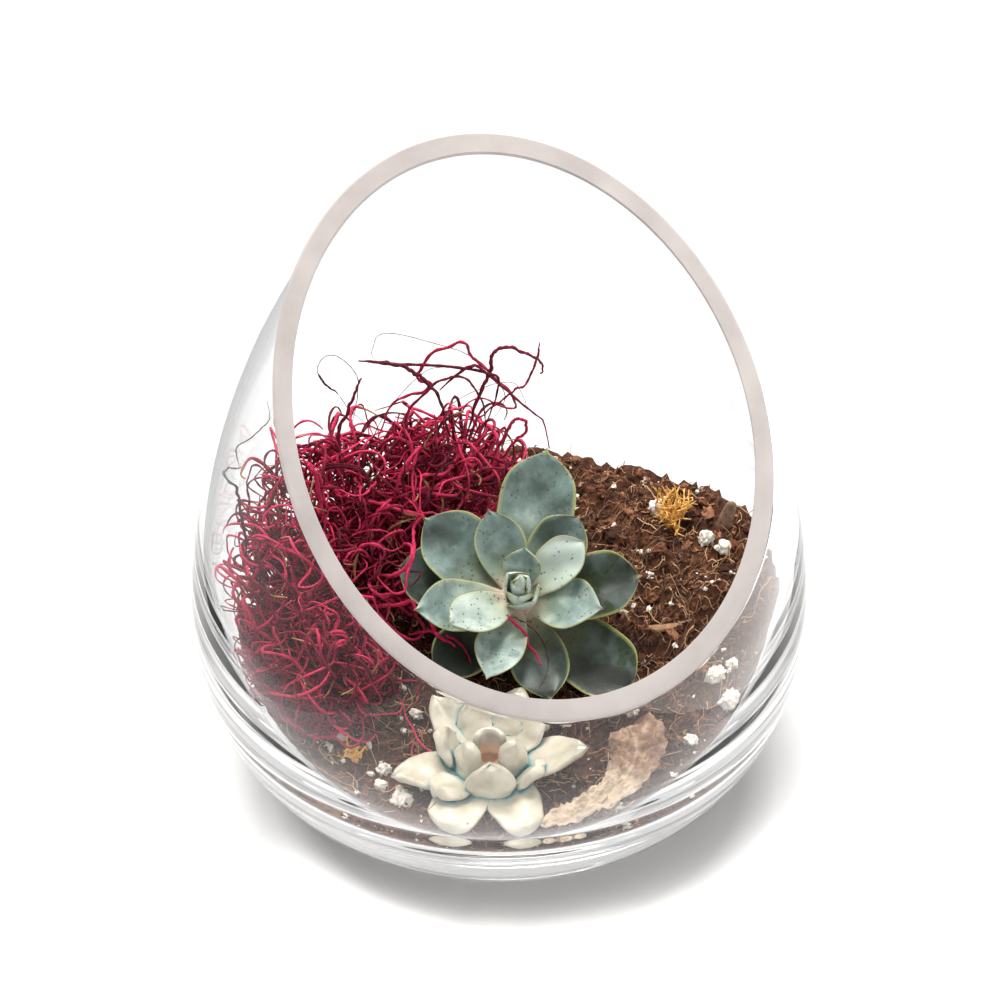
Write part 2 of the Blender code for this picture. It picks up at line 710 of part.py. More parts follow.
# Perlite grains: place in mm and width in mm
PERLITE = (
    (40.2, 38.8, 4.4), (51.6, 24.7, 3.8), (55.6, 18.6, 3.6), (57.6, -1.5, 3.4),
    (52.9, -20.9, 5.0), (57.2, -28.8, 5.4), (57.6, -17.6, 3.4), (47.0, -38.4, 3.6),
    (32.6, -26.0, 3.0), (-23.4, -52.0, 5.0), (-28.6, -48.0, 3.2), (-28.0, -42.4, 3.4),
    (-20.2, -24.0, 3.4), (-39.0, -31.5, 3.4),
)


def bed_in_soil(piece, pocket_name):
    """A pocket for a small convex piece: its own shape, larger all round by the gap."""
    mesh = piece.data.copy()
    centre = sum((v.co for v in mesh.vertices), Vector()) / len(mesh.vertices)
    for vertex in mesh.vertices:
        arm = vertex.co - centre
        vertex.co = centre + arm * (1.0 + 1.6 * GAP / arm.length)
    return add_object(pocket_name, mesh, cutters)


def make_perlite():
    white = make_material("perlite", (0.86, 0.85, 0.82), 0.9)
    grains = []
    for i, (x, y, width) in enumerate(PERLITE):
        finer = 2 if width > 4.2 else 1
        bpy.ops.mesh.primitive_ico_sphere_add(subdivisions=finer, radius=0.5 * width * MM)
        grain = bpy.context.object
        grain.name = "perlite_%02d" % (i + 1)
        high = soil_height(x * MM, y * MM) + 0.16 * width * MM
        shift = Vector((x * MM, y * MM, high))
        for vertex in grain.data.vertices:
            swell = 1.0 + 0.22 * noise.noise(vertex.co / (0.42 * width * MM) + Vector((i, 0.0, 0.0)))
            vertex.co = shift + vertex.co * swell
        move_to_model(grain, white)
        grains.append(grain)
    return grains


def move_to_model(piece, material):
    for owner in list(piece.users_collection):
        owner.objects.unlink(piece)
    model.objects.link(piece)
    piece.data.materials.clear()
    piece.data.materials.append(material)


def make_chip(name, place, size, turn, material):
    """A flat sliver of wood or bark: a squared cone with its edges knocked off."""
    bpy.ops.mesh.primitive_cone_add(vertices=7, radius1=0.5, radius2=0.28, depth=1.0)
    chip = bpy.context.object
    chip.name = name
    chip.data.transform(Matrix.Diagonal((size[0] * MM, size[1] * MM, size[2] * MM, 1.0)))
    chip.data.transform(turn)
    chip.data.transform(Matrix.Translation(place))
    move_to_model(chip, material)
    return chip


def make_chips():
    bark = make_material("bark", (0.20, 0.10, 0.055), 0.85)
    wood = make_material("pale_wood", (0.45, 0.26, 0.13), 0.8)
    x, y = 57.0 * MM, 27.6 * MM
    stand = Matrix.Rotation(math.radians(14.0), 4, 'Y')
    place = Vector((x, y, soil_height(x, y) + 2.4 * MM))
    bark_chip = make_chip("bark_chip", place, (4.4, 2.2, 9.0), stand, bark)
    x, y = 41.0 * MM, -3.4 * MM
    lie = Matrix.Rotation(math.radians(6.0), 4, 'Z') @ Matrix.Rotation(math.radians(86.0), 4, 'Y')
    place = Vector((x, y, soil_height(x, y) + 0.5 * MM))
    splinter = make_chip("wood_splinter", place, (1.9, 2.8, 13.0), lie, wood)
    return [bark_chip, splinter]


def make_lichen(name, place, spread, branches, material, seed):
    """A tuft of short forked branches on a small root ball in the soil."""
    draw = random.Random(seed)
    root = Vector((place[0] * MM, place[1] * MM, 0.0))
    root.z = soil_height(root.x, root.y) + 0.5 * MM
    bpy.ops.mesh.primitive_ico_sphere_add(subdivisions=1, radius=1.5 * MM)
    ball = bpy.context.object
    ball.data.transform(Matrix.Translation(root))
    pocket = bed_in_soil(ball, name + "_pocket")
    pieces = [ball]
    for i in range(branches):
        angle = 2.0 * math.pi * (i + draw.uniform(-0.3, 0.3)) / branches
        lean = draw.uniform(0.35, 0.95)
        reach = spread * MM * draw.uniform(0.75, 1.1)
        way = Vector((lean * math.cos(angle), lean * math.sin(angle), 1.15 - 0.6 * lean))
        way.normalize()
        side = way.cross(Vector((0.0, 0.0, 1.0))).normalized()
        rings = []
        for along, thick in ((0.0, 0.62), (0.5, 0.5), (0.86, 0.4)):
            centre = root + way * (reach * along) + Vector((0.0, 0.0, 0.6 * MM * along))
            ring = []
            for k in range(4):
                around = 0.5 * math.pi * k
                arm = side * math.cos(around) + side.cross(way) * math.sin(around)
                ring.append(centre + arm * (thick * MM))
            rings.append(ring)
        apex = root + way * reach + Vector((0.0, 0.0, 1.2 * MM))
        pieces.append(loft_object("%s_branch_%d" % (name, i), rings, apex, model))
    return fuse(name, pieces, material), pocket


# Dry leaf: middle line as points in mm with the width there
DRY_LEAF_LINE = (
    ((10.5, -59.0, 0.0), 1.8), ((15, -57.2, 0.0), 4.4), ((20.5, -54.6, 0.3), 6.6),
    ((26, -51.2, 0.8), 8.6), ((30.2, -47, 1.8), 12.5), ((32.3, -42.6, 3.0), 13.6),
    ((33, -38.2, 4.2), 10.5), ((32, -34.6, 5.2), 4.2),
)


def make_dry_leaf():
    """A curled, crumpled leaf: a strip along its middle line, thickened."""
    tan = make_material("dry_leaf", (0.50, 0.36, 0.24), 0.85)
    columns = 5
    shape = bmesh.new()
    rows = []
    for i, ((x, y, lift), width) in enumerate(DRY_LEAF_LINE):
        before = DRY_LEAF_LINE[max(0, i - 1)][0]
        after = DRY_LEAF_LINE[min(len(DRY_LEAF_LINE) - 1, i + 1)][0]
        way = Vector((after[0] - before[0], after[1] - before[1], 0.0)).normalized()
        across = Vector((way.y, -way.x, 0.0))
        row = []
        for k in range(columns):
            side = 2.0 * k / (columns - 1) - 1.0
            point = Vector((x, y, 0.0)) * MM + across * (0.5 * width * side * MM)
            crumple = 0.9 * MM * noise.noise(point / (4.0 * MM))
            low = soil_height(point.x, point.y) + 1.1 * MM
            point.z = low + lift * MM + 1.1 * MM * side * side * width / 14.0 + abs(crumple)
            row.append(shape.verts.new(point))
        rows.append(row)
    for lower, upper in zip(rows, rows[1:]):
        for k in range(columns - 1):
            shape.faces.new((lower[k], lower[k + 1], upper[k + 1], upper[k]))
    bmesh.ops.recalc_face_normals(shape, faces=shape.faces)
    mesh = bpy.data.meshes.new("dry_leaf")
    shape.to_mesh(mesh)
    shape.free()
    leaf = add_object("dry_leaf", mesh, model, tan)
    skin = leaf.modifiers.new("thickness", 'SOLIDIFY')
    skin.thickness = 0.8 * MM
    skin.offset = 0.0
    return leaf


def turn_planting(pieces):
    """Hang the planting and its guides on one empty that is turned about Z."""
    turner = bpy.data.objects.new("planting", None)
    model.objects.link(turner)
    turner.rotation_euler = (0.0, 0.0, PLANTING_TURN)
    for piece in pieces:
        piece.parent = turner


def build():
    clear_scene()
    make_collections()
    make_bowl()
    soil = make_soil()
    plant = make_echeveria()
    flower = make_ceramic_flower()
    moss = make_moss()
    leaf = make_dry_leaf()
    grains = make_perlite()
    chips = make_chips()
    orange = make_material("lichen", (0.62, 0.33, 0.05), 0.85)
    tuft_back, pocket_back = make_lichen("lichen_back", (44, 31.5), 8.0, 8, orange, 3)
    tuft_front, pocket_front = make_lichen("lichen_front", (-35.5, -39.6), 4.6, 7, orange, 8)
    tools = [make_stem_hole(), make_flower_seat(), pocket_back, pocket_front]
    for piece in grains + chips:
        tools.append(bed_in_soil(piece, piece.name + "_pocket"))
    for tool in tools:
        cut(soil, tool)
    apply_modifiers(soil)
    shade_round(soil.data, 60.0)
    planting = [soil, plant, flower, moss, leaf, tuft_back, tuft_front] + grains + chips
    turn_planting(planting + tools)


build()
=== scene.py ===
"""Succulent terrarium: the looks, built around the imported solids.

A slant-cut glass bowl is blown, cut and frosted, filled with potting soil, and planted with an
echeveria. A ceramic flower, dyed moss, perlite, a dry leaf and small litter are laid in it.
Lengths are metres, or mm where a name or a comment says so. The planting is laid out in its
own frame, turned about Z.
"""

import math
import random

import bmesh
import bpy
import numpy as np
from mathutils import Matrix, Vector, bvhtree, noise


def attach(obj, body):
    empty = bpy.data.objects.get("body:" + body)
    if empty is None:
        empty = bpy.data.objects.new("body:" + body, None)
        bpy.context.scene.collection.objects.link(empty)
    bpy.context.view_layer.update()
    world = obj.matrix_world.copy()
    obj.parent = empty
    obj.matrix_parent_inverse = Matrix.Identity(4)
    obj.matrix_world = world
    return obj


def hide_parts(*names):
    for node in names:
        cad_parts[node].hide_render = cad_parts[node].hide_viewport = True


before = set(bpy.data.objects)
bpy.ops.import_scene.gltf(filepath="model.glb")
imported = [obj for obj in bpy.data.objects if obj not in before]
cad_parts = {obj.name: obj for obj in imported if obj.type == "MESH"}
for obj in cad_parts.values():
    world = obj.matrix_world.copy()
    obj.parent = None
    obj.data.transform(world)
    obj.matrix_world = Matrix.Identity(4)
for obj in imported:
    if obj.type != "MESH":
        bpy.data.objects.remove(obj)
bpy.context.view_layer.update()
MM = 0.001

# ---------------------------------------------------------------------------------------------
# The bowl. Thick clear soda-lime glass, blown in a mould with a heavy base. The top is sawn off
# at a slant after cooling, and the cut is ground flat, which leaves it frosted.
BELLY_RADIUS = 75.0 * MM
BELLY_HEIGHT = 42.0 * MM
FOOT_RADIUS = 50.0 * MM
RIM_TOP_HEIGHT = 151.5 * MM
NECK_DRAW_IN = 36.0 * MM
NECK_POWER = 1.76
MOUTH_AXIS_HEIGHT = 121.4 * MM
MOUTH_TILT = math.radians(37.6)
WALL_THINNEST = 3.6 * MM
WALL_THINNEST_HEIGHT = 66.0 * MM
WALL_GAIN_BELOW = 1.0 * MM
WALL_GAIN_BELOW_SPAN = 18.5 * MM
WALL_GAIN_ABOVE = 2.6 * MM
WALL_GAIN_ABOVE_SPAN = 85.0 * MM
CAVITY_FLOOR = 13.0 * MM
HEEL_HEIGHT = 27.4 * MM
HEEL_REACH = 18.5 * MM
PUNT_RADIUS = 44.0 * MM
PUNT_HEIGHT = 0.9 * MM
RIM_EASE = 0.45 * MM
BOWL_COLUMNS = 256
FOOT_STEPS = 6
HEEL_STEPS = 26
WALL_STEPS = 34
INSIDE_STEPS = 40
FLOOR_STEPS = 5
SAW_START_HEIGHT = RIM_TOP_HEIGHT + 10.0 * MM
SAW_ROUNDS = 40
SHARP_EDGE = math.radians(28.0)
RIPPLE_SCALE = 14.0
GRIND_SCALE = 90.0


def outer_radius(height):
    if height < BELLY_HEIGHT:
        drop = min(1.0, (BELLY_HEIGHT - height) / BELLY_HEIGHT)
        return FOOT_RADIUS + (BELLY_RADIUS - FOOT_RADIUS) * math.sqrt(1.0 - drop * drop)
    climb = (height - BELLY_HEIGHT) / (RIM_TOP_HEIGHT - BELLY_HEIGHT)
    return BELLY_RADIUS - NECK_DRAW_IN * climb ** NECK_POWER


def wall_thickness(height):
    below = max(0.0, WALL_THINNEST_HEIGHT - height) / WALL_GAIN_BELOW_SPAN
    above = max(0.0, height - WALL_THINNEST_HEIGHT) / WALL_GAIN_ABOVE_SPAN
    return WALL_THINNEST + WALL_GAIN_BELOW * below ** 1.5 + WALL_GAIN_ABOVE * above ** 2


def inner_radius(height):
    if height >= HEEL_HEIGHT:
        return outer_radius(height) - wall_thickness(height)
    heel = outer_radius(HEEL_HEIGHT) - wall_thickness(HEEL_HEIGHT)
    drop = min(1.0, (HEEL_HEIGHT - height) / (HEEL_HEIGHT - CAVITY_FLOOR))
    return heel - HEEL_REACH + HEEL_REACH * math.sqrt(1.0 - drop * drop)


def last_height(holds, low, high, rounds):
    """The last height between two at which a test still holds, found by halving."""
    for _ in range(rounds):
        middle = 0.5 * (low + high)
        if holds(middle):
            low = middle
        else:
            high = middle
    return low


def saw_height(radius_at, angle):
    """Where one side of the wall meets the slanted saw cut in one direction."""
    def under_the_saw(height):
        reach = radius_at(height) * math.sin(angle)
        return height < MOUTH_AXIS_HEIGHT + reach * math.tan(MOUTH_TILT)
    return last_height(under_the_saw, BELLY_HEIGHT, SAW_START_HEIGHT, SAW_ROUNDS)


def bowl_column(angle):
    """Radius and height down the glass in one direction: foot, outside, rim, inside, floor."""
    outside_cut = saw_height(outer_radius, angle)
    inside_cut = saw_height(inner_radius, angle)
    line = []
    for i in range(1, FOOT_STEPS + 1):
        radius = PUNT_RADIUS * i / FOOT_STEPS
        line.append((radius, PUNT_HEIGHT * (1.0 - (radius / PUNT_RADIUS) ** 2)))
    for i in range(HEEL_STEPS):
        lean = 0.5 * math.pi * (i / HEEL_STEPS) ** 1.1
        line.append((FOOT_RADIUS + (BELLY_RADIUS - FOOT_RADIUS) * math.sin(lean),
                     BELLY_HEIGHT * (1.0 - math.cos(lean))))
    top = outside_cut - RIM_EASE
    for i in range(WALL_STEPS + 1):
        height = BELLY_HEIGHT + (top - BELLY_HEIGHT) * i / WALL_STEPS
        line.append((outer_radius(height), height))
    outside = (outer_radius(outside_cut), outside_cut)
    inside = (inner_radius(inside_cut), inside_cut)
    span = math.hypot(outside[0] - inside[0], outside[1] - inside[1])
    for share in (RIM_EASE / span, 1.0 - RIM_EASE / span):
        line.append(tuple(a + (b - a) * share for a, b in zip(outside, inside)))
    top = inside_cut - RIM_EASE
    for i in range(INSIDE_STEPS + 1):
        height = top + (HEEL_HEIGHT - top) * i / INSIDE_STEPS
        line.append((inner_radius(height), height))
    floor_edge = inner_radius(HEEL_HEIGHT) - HEEL_REACH
    for i in range(1, HEEL_STEPS):
        lean = 0.5 * math.pi * (1.0 - i / HEEL_STEPS)
        line.append((floor_edge + HEEL_REACH * math.sin(lean),
                     HEEL_HEIGHT - (HEEL_HEIGHT - CAVITY_FLOOR) * math.cos(lean)))
    for i in range(FLOOR_STEPS):
        line.append((floor_edge * (1.0 - i / FLOOR_STEPS), CAVITY_FLOOR))
    return line


def mesh_piece(name, corners, faces, smooth=True):
    """A mesh object from corner points and faces, shaded smooth, linked into the scene."""
    mesh = bpy.data.meshes.new(name)
    mesh.from_pydata([tuple(c) for c in corners], [], faces)
    mesh.update()
    if smooth:
        mesh.shade_smooth()
    piece = bpy.data.objects.new(name, mesh)
    bpy.context.scene.collection.objects.link(piece)
    return piece


def new_finish(name, roughness, **more):
    """A new material with its node tree and its shader, and what is the same all over."""
    finish = bpy.data.materials.new(name)
    finish.use_nodes = True
    shader = finish.node_tree.nodes["Principled BSDF"]
    shader.inputs["Roughness"].default_value = roughness
    for socket, value in more.items():
        shader.inputs[socket.replace("_", " ")].default_value = value
    return finish, finish.node_tree, shader


def cloud(tree, scale, detail=4.0, roughness=0.55):
    """Cloudy noise that is fixed to the piece."""
    spots = tree.nodes.new("ShaderNodeTexCoord")
    clouds = tree.nodes.new("ShaderNodeTexNoise")
    clouds.inputs["Scale"].default_value = scale
    clouds.inputs["Detail"].default_value = detail
    clouds.inputs["Roughness"].default_value = roughness
    tree.links.new(spots.outputs["Object"], clouds.inputs["Vector"])
    return clouds.outputs["Fac"]


def stained(tree, value, stops):
    """Colours laid along a number: pairs of a place from 0 to 1 and a colour."""
    ramp = tree.nodes.new("ShaderNodeValToRGB")
    ladder = ramp.color_ramp.elements
    while len(ladder) < len(stops):
        ladder.new(0.5)
    for step, (place, colour) in zip(ladder, stops):
        step.position = place
        step.color = (*colour, 1.0)
    tree.links.new(value, ramp.inputs["Fac"])
    return ramp.outputs["Color"]


def coloured(tree, shader, colour):
    tree.links.new(colour, shader.inputs["Base Color"])


def roughened(tree, shader, height, depth, strength):
    """Small relief on the skin from a height."""
    relief = tree.nodes.new("ShaderNodeBump")
    relief.inputs["Strength"].default_value = strength
    relief.inputs["Distance"].default_value = depth
    tree.links.new(height, relief.inputs["Height"])
    tree.links.new(relief.outputs["Normal"], shader.inputs["Normal"])


bowl_corners = []
for k in range(BOWL_COLUMNS):
    around = 2.0 * math.pi * k / BOWL_COLUMNS
    bowl_corners += [(r * math.cos(around), r * math.sin(around), h)
                     for r, h in bowl_column(around)]
bowl_rows = len(bowl_corners) // BOWL_COLUMNS
bowl_faces = []
for k in range(BOWL_COLUMNS):
    here = k * bowl_rows
    there = (k + 1) % BOWL_COLUMNS * bowl_rows
    for j in range(bowl_rows - 1):
        bowl_faces.append((here + j, there + j, there + j + 1, here + j + 1))
foot_middle = len(bowl_corners)
bowl_corners.append((0.0, 0.0, PUNT_HEIGHT))
floor_middle = len(bowl_corners)
bowl_corners.append((0.0, 0.0, CAVITY_FLOOR))
for k in range(BOWL_COLUMNS):
    here = k * bowl_rows
    there = (k + 1) % BOWL_COLUMNS * bowl_rows
    bowl_faces.append((here, foot_middle, there))
    bowl_faces.append((here + bowl_rows - 1, there + bowl_rows - 1, floor_middle))
bowl = mesh_piece("blown_bowl", bowl_corners, bowl_faces)
bowl.data.set_sharp_from_angle(angle=SHARP_EDGE)

clear, tree, shader = new_finish(
    "clear_glass_finish", 0.0, Base_Color=(0.985, 0.99, 0.99, 1.0), IOR=1.5,
    Transmission_Weight=1.0, Specular_Tint=(0.45, 0.45, 0.45, 1.0))
roughened(tree, shader, cloud(tree, RIPPLE_SCALE, 1.0, 0.5), 0.6 * MM, 0.05)

frosted, tree, shader = new_finish("ground_rim_finish", 0.55)
grind = cloud(tree, GRIND_SCALE, 4.0, 0.5)
coloured(tree, shader, stained(tree, grind, (
    (0.3, (0.435, 0.39, 0.375)), (0.7, (0.545, 0.495, 0.475)))))
roughened(tree, shader, grind, 0.1 * MM, 0.15)

bowl.data.materials.append(clear)
bowl.data.materials.append(frosted)
rim_row = FOOT_STEPS + HEEL_STEPS + WALL_STEPS
for k in range(BOWL_COLUMNS):
    for j in range(rim_row, rim_row + 3):
        bowl.data.polygons[k * (bowl_rows - 1) + j].material_index = 1
bowl.visible_shadow = False
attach(bowl, "root")
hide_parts("glass_bowl")

# ---------------------------------------------------------------------------------------------
# The soil. Moist potting mix of peat and coconut fibre, poured in low at the front and banked
# up by hand to the right and the back. Its crumbs press against the glass.
PLANTING_TURN = Matrix.Rotation(math.radians(-20.2), 3, 'Z')
SOIL_FRONT_LEVEL = 20.0 * MM
SOIL_RISE = 11.5 * MM
SLOPE_FOOT = -38.0 * MM
SLOPE_LENGTH = 45.0 * MM
RIGHT_BANK = 11.5 * MM
RIGHT_BANK_REACH = 66.0 * MM
LEFT_HOLLOW = 6.5 * MM
LEFT_HOLLOW_REACH = 33.0 * MM
LEFT_HOLLOW_DEPTH = 40.0 * MM
CLOD_SIZE = 9.0 * MM
CLOD_HEIGHT = 2.6 * MM
SOIL_SPOKES = 320
SOIL_TOP_RINGS = 120
SOIL_WALL_RINGS = 14
SOIL_CLEARANCE = 0.35 * MM
SOIL_LIFT = 0.3 * MM
SOIL_HIGHEST = 75.0 * MM
CONTACT_ROUNDS = 30
CALM_FRONT = 34.0 * MM
CALM_LENGTH = 22.0 * MM


def smooth_step(value):
    value = min(1.0, max(0.0, value))
    return value * value * (3.0 - 2.0 * value)


def stirred(y):
    """How rough the soil is, from the smooth front to the loose bank."""
    return smooth_step((y + CALM_FRONT) / CALM_LENGTH)


def raked_height(x, y):
    """The height of the raked soil with its clods, as the solid has it."""
    rise = SOIL_RISE * smooth_step((y - SLOPE_FOOT) / SLOPE_LENGTH)
    bank = RIGHT_BANK * (max(0.0, x) / RIGHT_BANK_REACH) ** 2
    dip = LEFT_HOLLOW * (max(0.0, -x) / LEFT_HOLLOW_REACH) ** 2
    level = SOIL_FRONT_LEVEL + rise + bank - dip * smooth_step(y / LEFT_HOLLOW_DEPTH)
    spot = Vector((x, y, 0.0)) / CLOD_SIZE
    clod = noise.noise(spot) + 0.5 * noise.noise(2.1 * spot + Vector((7.0, 3.0, 0.0)))
    return level + CLOD_HEIGHT * clod * (0.15 + 0.85 * stirred(y))


def soil_height(x, y):
    """The raked soil with its lumps and grit."""
    spot = Vector((x, y, 0.0)) / MM
    lump = 1.7 * noise.noise(spot / 3.4) + 2.4 * abs(noise.noise(spot / 2.1)) - 1.2
    grit = 0.6 * noise.noise(spot / 0.8) + 0.8 * abs(noise.noise(spot / 1.1)) - 0.2
    return raked_height(x, y) + (lump * (0.35 + 0.65 * stirred(y)) + grit) * MM


def planted(name, corners, faces, smooth=True):
    """A mesh whose points are given in the turned frame of the planting."""
    turned = np.asarray(corners, float) @ np.array(PLANTING_TURN).T
    return mesh_piece(name, turned.tolist(), faces, smooth)


def paint(piece, name, values):
    """A number for every point of a mesh, which its finish reads by name."""
    layer = piece.data.attributes.new(name, 'FLOAT', 'POINT')
    layer.data.foreach_set("value", np.asarray(values, np.float32))


def painted(tree, name):
    """The number painted on the points of the piece under a name."""
    reader = tree.nodes.new("ShaderNodeAttribute")
    reader.attribute_name = name
    return reader.outputs["Fac"]


def worked(tree, operation, first, second):
    """Two numbers, each a socket or a plain number, put through a sum."""
    sums = tree.nodes.new("ShaderNodeMath")
    sums.operation = operation
    for socket, value in zip(sums.inputs, (first, second)):
        if isinstance(value, (int, float)):
            socket.default_value = value
        else:
            tree.links.new(value, socket)
    return sums.outputs[0]


def soil_contact(angle):
    """The height at which the soil meets the glass in one direction."""
    def under_the_soil(height):
        radius = inner_radius(height) - SOIL_CLEARANCE
        return height < soil_height(radius * math.cos(angle), radius * math.sin(angle))
    return last_height(under_the_soil, CAVITY_FLOOR, SOIL_HIGHEST, CONTACT_ROUNDS)


def ring_band(low, sides):
    """The faces between the ring of points that starts at a number and the next ring."""
    return [(low + k, low + (k + 1) % sides, low + sides + (k + 1) % sides, low + sides + k)
            for k in range(sides)]


soil_rings = []
soil_angles = [2.0 * math.pi * (i + 0.5) / SOIL_SPOKES for i in range(SOIL_SPOKES)]
soil_contacts = [soil_contact(angle) for angle in soil_angles]
soil_floor = CAVITY_FLOOR + SOIL_LIFT
for i in range(SOIL_WALL_RINGS + 1):
    share = 1.0 - math.cos(0.5 * math.pi * i / SOIL_WALL_RINGS)
    ring = []
    for angle, contact in zip(soil_angles, soil_contacts):
        height = soil_floor + (contact - soil_floor) * share
        radius = inner_radius(height - SOIL_LIFT) - SOIL_CLEARANCE
        ring.append((radius * math.cos(angle), radius * math.sin(angle), height))
    soil_rings.append(ring)
soil_edge = soil_rings[-1]
for i in range(1, SOIL_TOP_RINGS):
    inward = 1.0 - i / SOIL_TOP_RINGS
    soil_rings.append([(x * inward, y * inward, soil_height(x * inward, y * inward))
                       for x, y, _ in soil_edge])
soil_corners = [corner for ring in soil_rings for corner in ring]
soil_faces = [tuple(range(SOIL_SPOKES - 1, -1, -1))]
for i in range(len(soil_rings) - 1):
    soil_faces += ring_band(i * SOIL_SPOKES, SOIL_SPOKES)
soil_corners.append((0.0, 0.0, soil_height(0.0, 0.0)))
last_ring = (len(soil_rings) - 1) * SOIL_SPOKES
for k in range(SOIL_SPOKES):
    soil_faces.append((last_ring + k, last_ring + (k + 1) % SOIL_SPOKES, len(soil_corners) - 1))
soil = planted("soil_bank", soil_corners, soil_faces)

peat, tree, shader = new_finish("potting_soil_finish", 0.95, Specular_IOR_Level=0.15)
crumble = cloud(tree, 420.0, 8.0, 0.75)
coloured(tree, shader, stained(tree, crumble, (
    (0.34, (0.018, 0.008, 0.005)), (0.48, (0.052, 0.020, 0.011)),
    (0.60, (0.116, 0.044, 0.021)), (0.74, (0.30, 0.14, 0.078)))))
roughened(tree, shader, crumble, 0.6 * MM, 0.9)
soil.data.materials.append(peat)
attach(soil, "root")
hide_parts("soil")

# Crumbs of peat lie loose over the bank, from dust to lumps of three millimetres, and pieces
# of coconut fibre and white perlite dust are mixed in with them.
COARSE_CRUMBS = 700
FINE_CRUMBS = 4400
COIR_FIBRES = 4800
PERLITE_SPECKS = 320
SPREAD_REACH_MM = 70.0
OFF_THE_GLASS = 1.3 * MM
LUMP_SIZE = 0.9 * MM
ROSETTE_SHELTER = 16.0 * MM
FLOWER_SHELTER = 17.0 * MM
ROSETTE_PLACE = Vector((5.0, -2.8, 40.0)) * MM
FLOWER_PLACE = Vector((-2.2, -42.3, 21.8)) * MM


def ball_pattern(cuts):
    """Corner points and triangles of a round ball, to be knocked into grains."""
    shape = bmesh.new()
    bmesh.ops.create_icosphere(shape, subdivisions=cuts, radius=1.0)
    points = np.array([tuple(v.co) for v in shape.verts])
    faces = np.array([[v.index for v in f.verts] for f in shape.faces])
    shape.free()
    return points, faces


def spot_on_soil(dice):
    """A place on the soil, evenly spread, in from the glass."""
    while True:
        x = dice.uniform(-SPREAD_REACH_MM, SPREAD_REACH_MM) * MM
        y = dice.uniform(-SPREAD_REACH_MM, SPREAD_REACH_MM) * MM
        height = raked_height(x, y)
        if math.hypot(x, y) < inner_radius(height) - OFF_THE_GLASS:
            return x, y


def scatter(dice, count, cuts, low, high, power, sink, rough):
    """Grains on the soil, sized in mm: corner points, faces, and a tone for each point."""
    points, faces = ball_pattern(cuts)
    corners, triangles, tones = [], [], []
    while len(corners) < count:
        x, y = spot_on_soil(dice)
        size = (low + (high - low) * dice.random() ** power) * MM
        covered = min((Vector((x, y)) - ROSETTE_PLACE.xy).length - ROSETTE_SHELTER,
                      (Vector((x, y)) - FLOWER_PLACE.xy).length - FLOWER_SHELTER)
        if size > LUMP_SIZE and covered < 0.0:
            continue
        ground = soil_height(x, y)
        if math.hypot(x, y) + 0.8 * size > inner_radius(ground - 0.4 * size) - SOIL_LIFT:
            continue
        knock = 1.0 + rough * (np.array([dice.random() for _ in points]) - 0.5)
        stretch = np.array([dice.uniform(0.6, 1.35), dice.uniform(0.6, 1.1), 0.75])
        turn = Matrix.Rotation(dice.uniform(0.0, 6.28), 3, 'Z')
        turn = turn @ Matrix.Rotation(dice.gauss(0.0, 0.5), 3, 'X')
        grain = (points * knock[:, None] * stretch * 0.5 * size) @ np.array(turn).T
        grain += (x, y, ground + sink * size)
        triangles.append(faces + len(corners) * len(points))
        corners.append(grain)
        tones.append(np.full(len(points), dice.random()))
    return np.concatenate(corners), np.concatenate(triangles), np.concatenate(tones)


def add_shell(corners, faces, points, polygons):
    """Put the points and faces of one more shell into a mesh that is being made."""
    start = len(corners)
    corners.extend(points)
    faces.extend(tuple(int(i) + start for i in face) for face in polygons)


def joined(parts):
    """Shells as one mesh; each is points, faces and some lists of numbers for the points."""
    corners, faces = [], []
    marks = [[] for _ in parts[0][2:]]
    for points, polygons, *lists in parts:
        add_shell(corners, faces, points, polygons)
        for mark, values in zip(marks, lists):
            mark.extend(values)
    return corners, faces, *marks


dice = random.Random(5)
crumb_parts = [scatter(dice, COARSE_CRUMBS, 2, 1.2, 3.4, 2.4, 0.16, 1.0),
               scatter(dice, FINE_CRUMBS, 1, 0.35, 1.5, 1.6, 0.25, 1.1)]
crumb_corners, crumb_faces, crumb_tones = joined(crumb_parts)
crumbs = planted("soil_crumbs", crumb_corners, crumb_faces, smooth=False)
paint(crumbs, "tone", crumb_tones)
crumb_peat, tree, shader = new_finish("peat_crumb_finish", 0.95, Specular_IOR_Level=0.15)
grainy = cloud(tree, 900.0, 5.0, 0.7)
mixed = worked(tree, 'ADD', worked(tree, 'MULTIPLY', painted(tree, "tone"), 0.55),
               worked(tree, 'MULTIPLY', grainy, 0.45))
coloured(tree, shader, stained(tree, mixed, (
    (0.14, (0.020, 0.009, 0.006)), (0.40, (0.053, 0.020, 0.011)),
    (0.62, (0.118, 0.045, 0.021)), (0.80, (0.31, 0.145, 0.078)))))
roughened(tree, shader, grainy, 0.3 * MM, 0.8)
crumbs.data.materials.append(crumb_peat)
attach(crumbs, "root")


